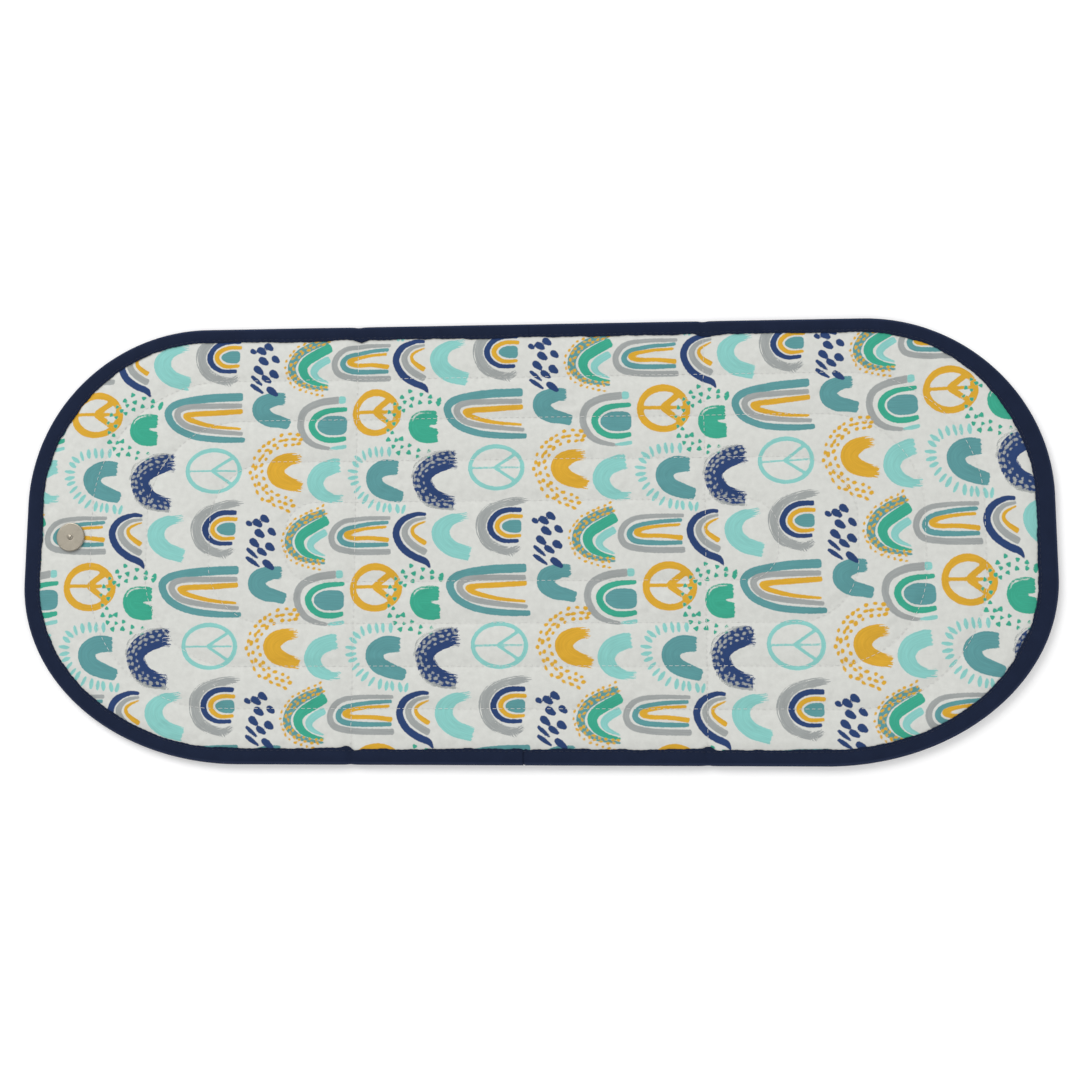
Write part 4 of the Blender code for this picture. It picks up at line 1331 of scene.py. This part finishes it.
def make_binding(side):
    """One half of the binding, swept round the pad's outline. The left half ends in a turned-under
    hem that laps over the start of the right half, on the front edge."""
    places, headings, walked, total = ring_walk(*OUTLINE, BINDING_STEP)
    join = total + JOIN_X if side == "left" else JOIN_X - JOIN_LAP
    if side == "right":
        keep = walked <= total / 2 + 1e-6
        extra = np.arange(join, -0.2, BINDING_STEP)
        lapped = np.column_stack([extra, np.full_like(extra, -HALF_WIDTH)])
        places = np.concatenate([lapped, places[keep]])
        headings = np.concatenate([np.zeros_like(extra), headings[keep]])
        walked = np.concatenate([extra, walked[keep]])
    else:
        keep = (walked >= total / 2 - 1e-6) & (walked < join - 0.3)
        places = np.concatenate([places[keep], [(JOIN_X, -HALF_WIDTH)]])
        headings = np.concatenate([headings[keep], [0.0]])
        walked = np.concatenate([walked[keep], [join]])
    section = binding_profile(np.where(walked < 0, walked + total, walked), *places.T)
    away = np.sign(section[..., 1] - THICKNESS / 2)
    if side == "right":
        tucked = 1 - smoothstep(JOIN_X + 0.1, JOIN_X + 1.6, walked)
        section[..., 0] += tucked[:, None] * np.where(section[..., 0] < 5.0, 0.62, -0.5)
        section[..., 1] -= tucked[:, None] * away * 0.6
    else:
        lifted = smoothstep(join - 5.0, join - 0.5, walked)
        lifted *= 1 - 0.75 * smoothstep(join - 0.6, join, walked)
        section[..., 1] += lifted[:, None] * away * 0.10
    inward = np.column_stack([-np.sin(headings), np.cos(headings)])
    flat_places = places[:, None, :] + inward[:, None, :] * section[..., :1]
    points = np.concatenate([flat_places, section[..., 1:]], -1)
    count, sides, _ = points.shape
    quads = tube_quads(count, sides)
    cap = np.arange(sides)
    caps = [cap[::-1], cap + (count - 1) * sides]
    faces = [*quads[:, ::-1].tolist(), *[c[::-1].tolist() for c in caps]]
    made = new_object(f"binding_tape_{side}", points.reshape(-1, 3), faces, NAVY_BINDING)
    steps = np.diff(section, axis=1, prepend=section[:, :1])
    girth = np.cumsum(np.hypot(*steps.transpose(2, 0, 1)), axis=1)
    store_flat(made.data, np.repeat(walked, sides), girth.ravel())
    inset = section[..., 0]
    # Painted highlight along the upper shoulder of the binding's rolled edge, where light from above
    # would catch it, stored for the material to pale the navy.
    painted_highlight = np.exp(-((inset - 0.9) / 0.6) ** 2) * (section[..., 1] > THICKNESS / 2)
    store(made.data, "painted_highlight", "FLOAT", painted_highlight.ravel())
    bend(made, side)
    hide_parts(f"binding_{side}", "binding_back", f"binding_front_{side}")
    return made


# ---------------------------------------------------------------- stitches

# How much of its pitch a stitch shows, and the threads' radii
STITCH_SHARE = 0.66
QUILT_THREAD = 0.155
NAVY_THREAD_RADIUS = 0.2
THREAD_GAP = 0.02

# A stitch's sections: how far each is from the middle, how high it lies and how full it is
STITCH_SIDES = 6
STITCH_RINGS = np.array([-1.0, -0.86, -0.5, 0.0, 0.5, 0.86, 1.0])
STITCH_LIFT = np.array([-0.34, -0.06, 0.13, 0.18, 0.13, -0.06, -0.34])
STITCH_SWELL = np.array([0.55, 0.95, 1.0, 1.0, 1.0, 0.95, 0.55])
FLATTENED = 0.85

# The thread's texture starts anew this far on in each stitch
TEXTURE_STEP = 11.0


def make_stitches(name, side, places, headings, heights, down, material, radius, seed):
    """Separate stitches, each a short bowed thread that dips into the cloth at both ends."""
    rng = np.random.RandomState(seed)
    count = len(places)
    turn = headings + rng.normal(0.0, 0.035, count)
    half = STITCH_PITCH * STITCH_SHARE / 2 * rng.uniform(0.92, 1.07, count)
    along = np.column_stack([np.cos(turn), np.sin(turn)])
    left = np.column_stack([-along[:, 1], along[:, 0]])
    angle = 2 * math.pi * np.arange(STITCH_SIDES) / STITCH_SIDES
    up = -1.0 if down else 1.0
    reach = (half[:, None] * STITCH_RINGS)[:, :, None]
    swell = radius * STITCH_SWELL[None, :, None]
    lift = (STITCH_LIFT * up)[None, :, None] + heights[:, None, None]
    off = swell * np.cos(angle)
    points = np.empty((count, len(STITCH_RINGS), STITCH_SIDES, 3))
    for axis in range(2):
        ahead = reach * along[:, None, None, axis]
        aside = off * left[:, None, None, axis]
        points[..., axis] = places[:, None, None, axis] + ahead + aside
    points[..., 2] = lift + swell * np.sin(angle) * FLATTENED
    per_stitch = len(STITCH_RINGS) * STITCH_SIDES
    quads = tube_quads(len(STITCH_RINGS), STITCH_SIDES)
    first = np.arange(count)[:, None, None] * per_stitch
    faces = (quads[None] + first).reshape(-1, 4).tolist()
    end = np.arange(STITCH_SIDES)
    ends = np.array([end[::-1], end + per_stitch - STITCH_SIDES])
    faces += (ends[None] + first).reshape(-1, STITCH_SIDES).tolist()
    made = new_object(name, points.reshape(-1, 3), [f[::-1] for f in faces], material)
    walked = np.broadcast_to(reach + TEXTURE_STEP * np.arange(count)[:, None, None], points.shape[:3])
    around = np.broadcast_to(angle * radius * 2, points.shape[:3])
    store(made.data, "along_thread", "FLOAT_VECTOR",
          np.stack([walked, around, 0 * around], -1).reshape(-1, 3))
    bend(made, side)
    return made


def on_side(side, places):
    """Which places are on a half."""
    return places[:, 0] * SIDES[side] >= 0


def make_rows(side, names, seeds, places, headings, nodes):
    """A row of quilting thread on the printed face, and the bobbin's row under it."""
    top = make_stitches(names[0], side, places, headings, top_at(*places.T) + THREAD_GAP, False,
                        WHITE_THREAD, QUILT_THREAD, seeds[0])
    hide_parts(*nodes)
    under = make_stitches(names[1], side, places, headings, back_at(*places.T) - THREAD_GAP, True,
                          NAVY_THREAD, NAVY_THREAD_RADIUS, seeds[1])
    return [top, under]


def make_quilting(side):
    """The four rings of quilting, as far as they run on one half."""
    made = []
    for number, ring in enumerate(RINGS, start=1):
        total = row_walk(ring, STITCH_PITCH)[3]
        places, headings, _, _ = row_walk(ring, total / round(total / STITCH_PITCH) / 2)
        keep = on_side(side, places) & (np.arange(len(places)) % 2 == 1)
        nodes = [f"quilting_{side}_{number}"]
        nodes += [f"quilting_centre_{edge}_{number}" for edge in ("back", "front")]
        names = (f"quilting_{side}_row_{number}", f"bobbin_{side}_row_{number}")
        made += make_rows(side, names, (100 + number, 200 + number), places[keep], headings[keep], nodes)
    return made


# The fold rows' seeds, and how far a stitch strays from its row
FOLD_ROW_SEEDS = {"left": 31, "right": 32}
FOLD_ROW_WANDER = 0.12


def make_fold_stitches(side):
    """The row along one fold, not quite straight."""
    reach = HALF_WIDTH - BINDING_WIDTH - 0.8
    rows = np.arange(-math.floor(reach / STITCH_PITCH), math.floor(reach / STITCH_PITCH)) + 0.5
    rng = np.random.RandomState(FOLD_ROW_SEEDS[side])
    places = np.column_stack([
        SIDES[side] * FOLD_X + rng.normal(0.0, FOLD_ROW_WANDER, len(rows)), rows * STITCH_PITCH])
    names = (f"fold_stitches_{side}", f"fold_bobbin_{side}")
    headings = np.full(len(rows), math.pi / 2)
    return make_rows(side, names, (41, 42), places, headings, [f"fold_seam_{side}"])


def make_binding_stitches(side):
    """The row that holds the binding, on both faces, close to its inner edge."""
    places, headings, walked, _ = ring_walk(*OUTLINE, STITCH_PITCH / 2)
    keep = on_side(side, places) & (np.arange(len(places)) % 2 == 1)
    places, headings, walked = places[keep], headings[keep], walked[keep]
    section = binding_profile(walked, *places.T)
    inward = np.column_stack([-np.sin(headings), np.cos(headings)])
    made = []
    for name, corner, down, seed in (
            ("binding_stitches", SEAM_TOP, False, 51), ("binding_bobbin", SEAM_BACK, True, 52)):
        at = places + inward * section[:, corner, :1]
        row = make_stitches(f"{name}_{side}", side, at, headings, section[:, corner, 1], down,
                            NAVY_THREAD, NAVY_THREAD_RADIUS, seed)
        made.append(row)
    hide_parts(f"binding_seam_{side}", "binding_seam_back", "binding_seam_front")
    return made


# ---------------------------------------------------------------- snap

# Sides of a turned piece, the height of the stud's face, and the radius of the socket's hole
TURNED_SIDES = 144
STUD_FACE = 7.62
CASE_HOLE = 2.4


def turned(name, profile, centre, material):
    """A closed profile of (radius, height), from the axis round and back to it, turned."""
    angle = 2 * math.pi * np.arange(TURNED_SIDES) / TURNED_SIDES
    inner = profile[1:-1]
    rings = np.array([[(r * math.cos(a), r * math.sin(a), z) for a in angle] for r, z in inner])
    count = len(inner)
    points = [(0.0, 0.0, profile[0][1]), (0.0, 0.0, profile[-1][1]), *rings.reshape(-1, 3)]
    quads = tube_quads(count, TURNED_SIDES) + 2
    side = np.arange(TURNED_SIDES)
    turn = (side + 1) % TURNED_SIDES
    last = 2 + (count - 1) * TURNED_SIDES
    faces = [*quads.tolist(), *np.column_stack([0 * side, turn + 2, side + 2]).tolist()]
    faces += np.column_stack([0 * side + 1, side + last, turn + last]).tolist()
    made = new_object(name, points, faces, material)
    made.location = (centre[0] * MM, centre[1] * MM, 0.0)
    return made


def make_stud():
    """The stud's cap: a pressed disc with a rolled rim and a small nose that finds the socket."""
    low, tip = STUD_LOW[2], STUD_HIGH[2]
    top = STUD_FACE
    edge = STUD_RADIUS
    ridges = [(2.3 + 0.4 * step, top + (0.02 if step % 2 else -0.02)) for step in range(17)]
    profile = [
        (0.0, tip), (0.55, tip - 0.02), (1.05, tip - 0.12), (1.45, tip - 0.34), (1.68, tip - 0.6),
        (1.78, top + 0.05), (1.95, top - 0.04), *ridges, (8.85, top), (9.2, top - 0.1),
        (edge - 0.04, top - 0.3), (edge, top - 0.6), (edge - 0.05, low + 0.12), (edge - 0.2, low),
        (edge - 0.7, low), (edge - 0.8, top - 0.65), (edge - 1.4, top - 0.55), (2.6, top - 0.55),
        (0.0, top - 0.55),
    ]
    made = turned("snap_stud", profile, STUD_CENTRE, NICKEL)
    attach(made, "left_panel")
    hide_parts("snap_stud_cap")
    return made


def make_case():
    """The socket's case, open in the middle of its lower face, with the magnet inside it."""
    low, high = CASE_LOW[2], CASE_HIGH[2]
    edge = CASE_RADIUS
    hole = CASE_HOLE
    loop = [
        (hole + 0.1, low + 0.02), (hole + 0.5, low), (5.2, low), (edge - 1.3, low + 0.02),
        (edge - 0.5, low + 0.14), (edge - 0.12, low + 0.45), (edge, low + 0.9), (edge, high - 0.25),
        (edge - 0.2, high - 0.02), (edge - 0.6, high), (4.8, high), (4.8, high - 0.4),
        (edge - 0.7, high - 0.4), (edge - 0.45, high - 0.8), (edge - 0.5, low + 0.75),
        (edge - 1.2, low + 0.42), (hole + 0.4, low + 0.42), (hole, low + 0.22),
    ]
    angle = 2 * math.pi * np.arange(TURNED_SIDES) / TURNED_SIDES
    points = np.array([[(r * math.cos(a), r * math.sin(a), z) for r, z in loop] for a in angle])
    quads = tube_quads(TURNED_SIDES, len(loop), closed=True)
    made = new_object("snap_socket", points.reshape(-1, 3), quads.tolist(), NICKEL)
    made.location = (CASE_CENTRE[0] * MM, CASE_CENTRE[1] * MM, 0.0)
    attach(made, "right_panel")
    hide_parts("snap_socket_case")
    return made


def dress_cad_nodes():
    """Inner snap parts keep their CAD shapes and get their own finishes."""
    finishes = {
        "snap_stud_clip": STEEL, "snap_stud_washer": STEEL, "snap_stud_patch": INTERFACING,
        "snap_socket_clip": STEEL, "snap_socket_washer": STEEL, "snap_socket_patch": INTERFACING,
        "snap_socket_magnet": FERRITE,
    }
    for node, material in finishes.items():
        made = frame["nodes"][node]
        made.data.materials.clear()
        made.data.materials.append(material)


# ---------------------------------------------------------------- the pad

CORNER_SPARE = (1 - math.pi / 4) * sum(math.prod(corner) for corner in (BACK_CORNER, FRONT_CORNER))

for half in SIDES:
    top_cloth = make_top_cloth(half)
    backing = make_backing(half)
    wadding = make_wadding(half)
    binding = make_binding(half)
    quilting = make_quilting(half)
    fold_rows = make_fold_stitches(half)
    binding_rows = make_binding_stitches(half)
    upper = [piece for piece in [*quilting, *fold_rows] if "bobbin" not in piece.name]
    lower = [piece for piece in [*quilting, *fold_rows] if "bobbin" in piece.name]

make_stud()
make_case()
dress_cad_nodes()


# ---------------------------------------------------------------- floor, light and camera

def make_floor():
    """A wide white floor just under the pad, with a little light of its own."""
    bpy.ops.mesh.primitive_plane_add(size=14.0, location=(0.0, 0.0, -0.0002))
    floor = bpy.context.active_object
    floor.name = "floor"
    shading = Shading("floor")
    place = shading.node("ShaderNodeTexCoord").outputs["Object"]
    patches = shading.spread(shading.noise(place, 3.0), 0.995, 1.0)
    shading.finish(
        Base_Color=shading.scaled((0.93, 0.93, 0.93), patches), Roughness=0.9,
        Specular_IOR_Level=0.1, Emission_Color=(1.0, 1.0, 1.0, 1.0), Emission_Strength=0.12)
    floor.data.materials.append(shading.material)


def soft_light(name, place, size, power):
    """A rectangular light that faces the pad."""
    data = bpy.data.lights.new(name, "AREA")
    data.shape = "RECTANGLE"
    data.size, data.size_y = size
    data.energy = power
    light = bpy.data.objects.new(name, data)
    light.location = place
    light.rotation_euler = (-Vector(place)).to_track_quat("-Z", "Y").to_euler()
    bpy.context.scene.collection.objects.link(light)


# How bright the room is from where to where, by how far up one looks: dimmer straight overhead
CEILING = {"From Min": 0.84, "From Max": 0.97, "To Min": 0.74, "To Max": 0.18}


def make_lights():
    """A bright room with a dimmer patch overhead, and two soft lights."""
    world = bpy.data.worlds.new("studio")
    world.use_nodes = True
    nodes = world.node_tree.nodes
    links = world.node_tree.links
    direction = nodes.new("ShaderNodeTexCoord").outputs["Generated"]
    parts = nodes.new("ShaderNodeSeparateXYZ")
    links.new(direction, parts.inputs[0])
    ceiling = nodes.new("ShaderNodeMapRange")
    ceiling.interpolation_type = "SMOOTHSTEP"
    for name, value in CEILING.items():
        ceiling.inputs[name].default_value = value
    links.new(parts.outputs["Z"], ceiling.inputs["Value"])
    links.new(ceiling.outputs[0], nodes["Background"].inputs["Strength"])
    nodes["Background"].inputs["Color"].default_value = (1.0, 1.0, 1.0, 1.0)
    bpy.context.scene.world = world
    soft_light("key", (-1.3, 1.5, 1.9), (1.6, 1.6), 40.0)
    soft_light("fill", (1.6, -0.9, 1.9), (1.8, 1.8), 14.0)


CAMERA_PLACE = Vector((0.0793, -0.1306, 0.9560))
CAMERA_AIM = Vector((0.0075, 0.0, 0.006))
CAMERA_ROLL = math.radians(0.17)


def make_camera():
    """A 50 mm camera almost straight above the pad, a little to its right front."""
    data = bpy.data.cameras.new("camera")
    data.lens = 50.0
    data.sensor_width = 36.0
    data.clip_start = 0.01
    camera = bpy.data.objects.new("camera", data)
    back = (CAMERA_PLACE - CAMERA_AIM).normalized()
    right = Vector((0.0, 1.0, 0.0)).cross(back).normalized()
    rotation = Matrix((right, back.cross(right), back)).transposed().to_4x4()
    roll = Matrix.Rotation(CAMERA_ROLL, 4, "Z")
    camera.matrix_world = Matrix.Translation(CAMERA_PLACE) @ rotation @ roll
    bpy.context.scene.collection.objects.link(camera)
    bpy.context.scene.camera = camera


make_floor()
make_lights()
make_camera()
bpy.context.scene.view_settings.view_transform = "Standard"
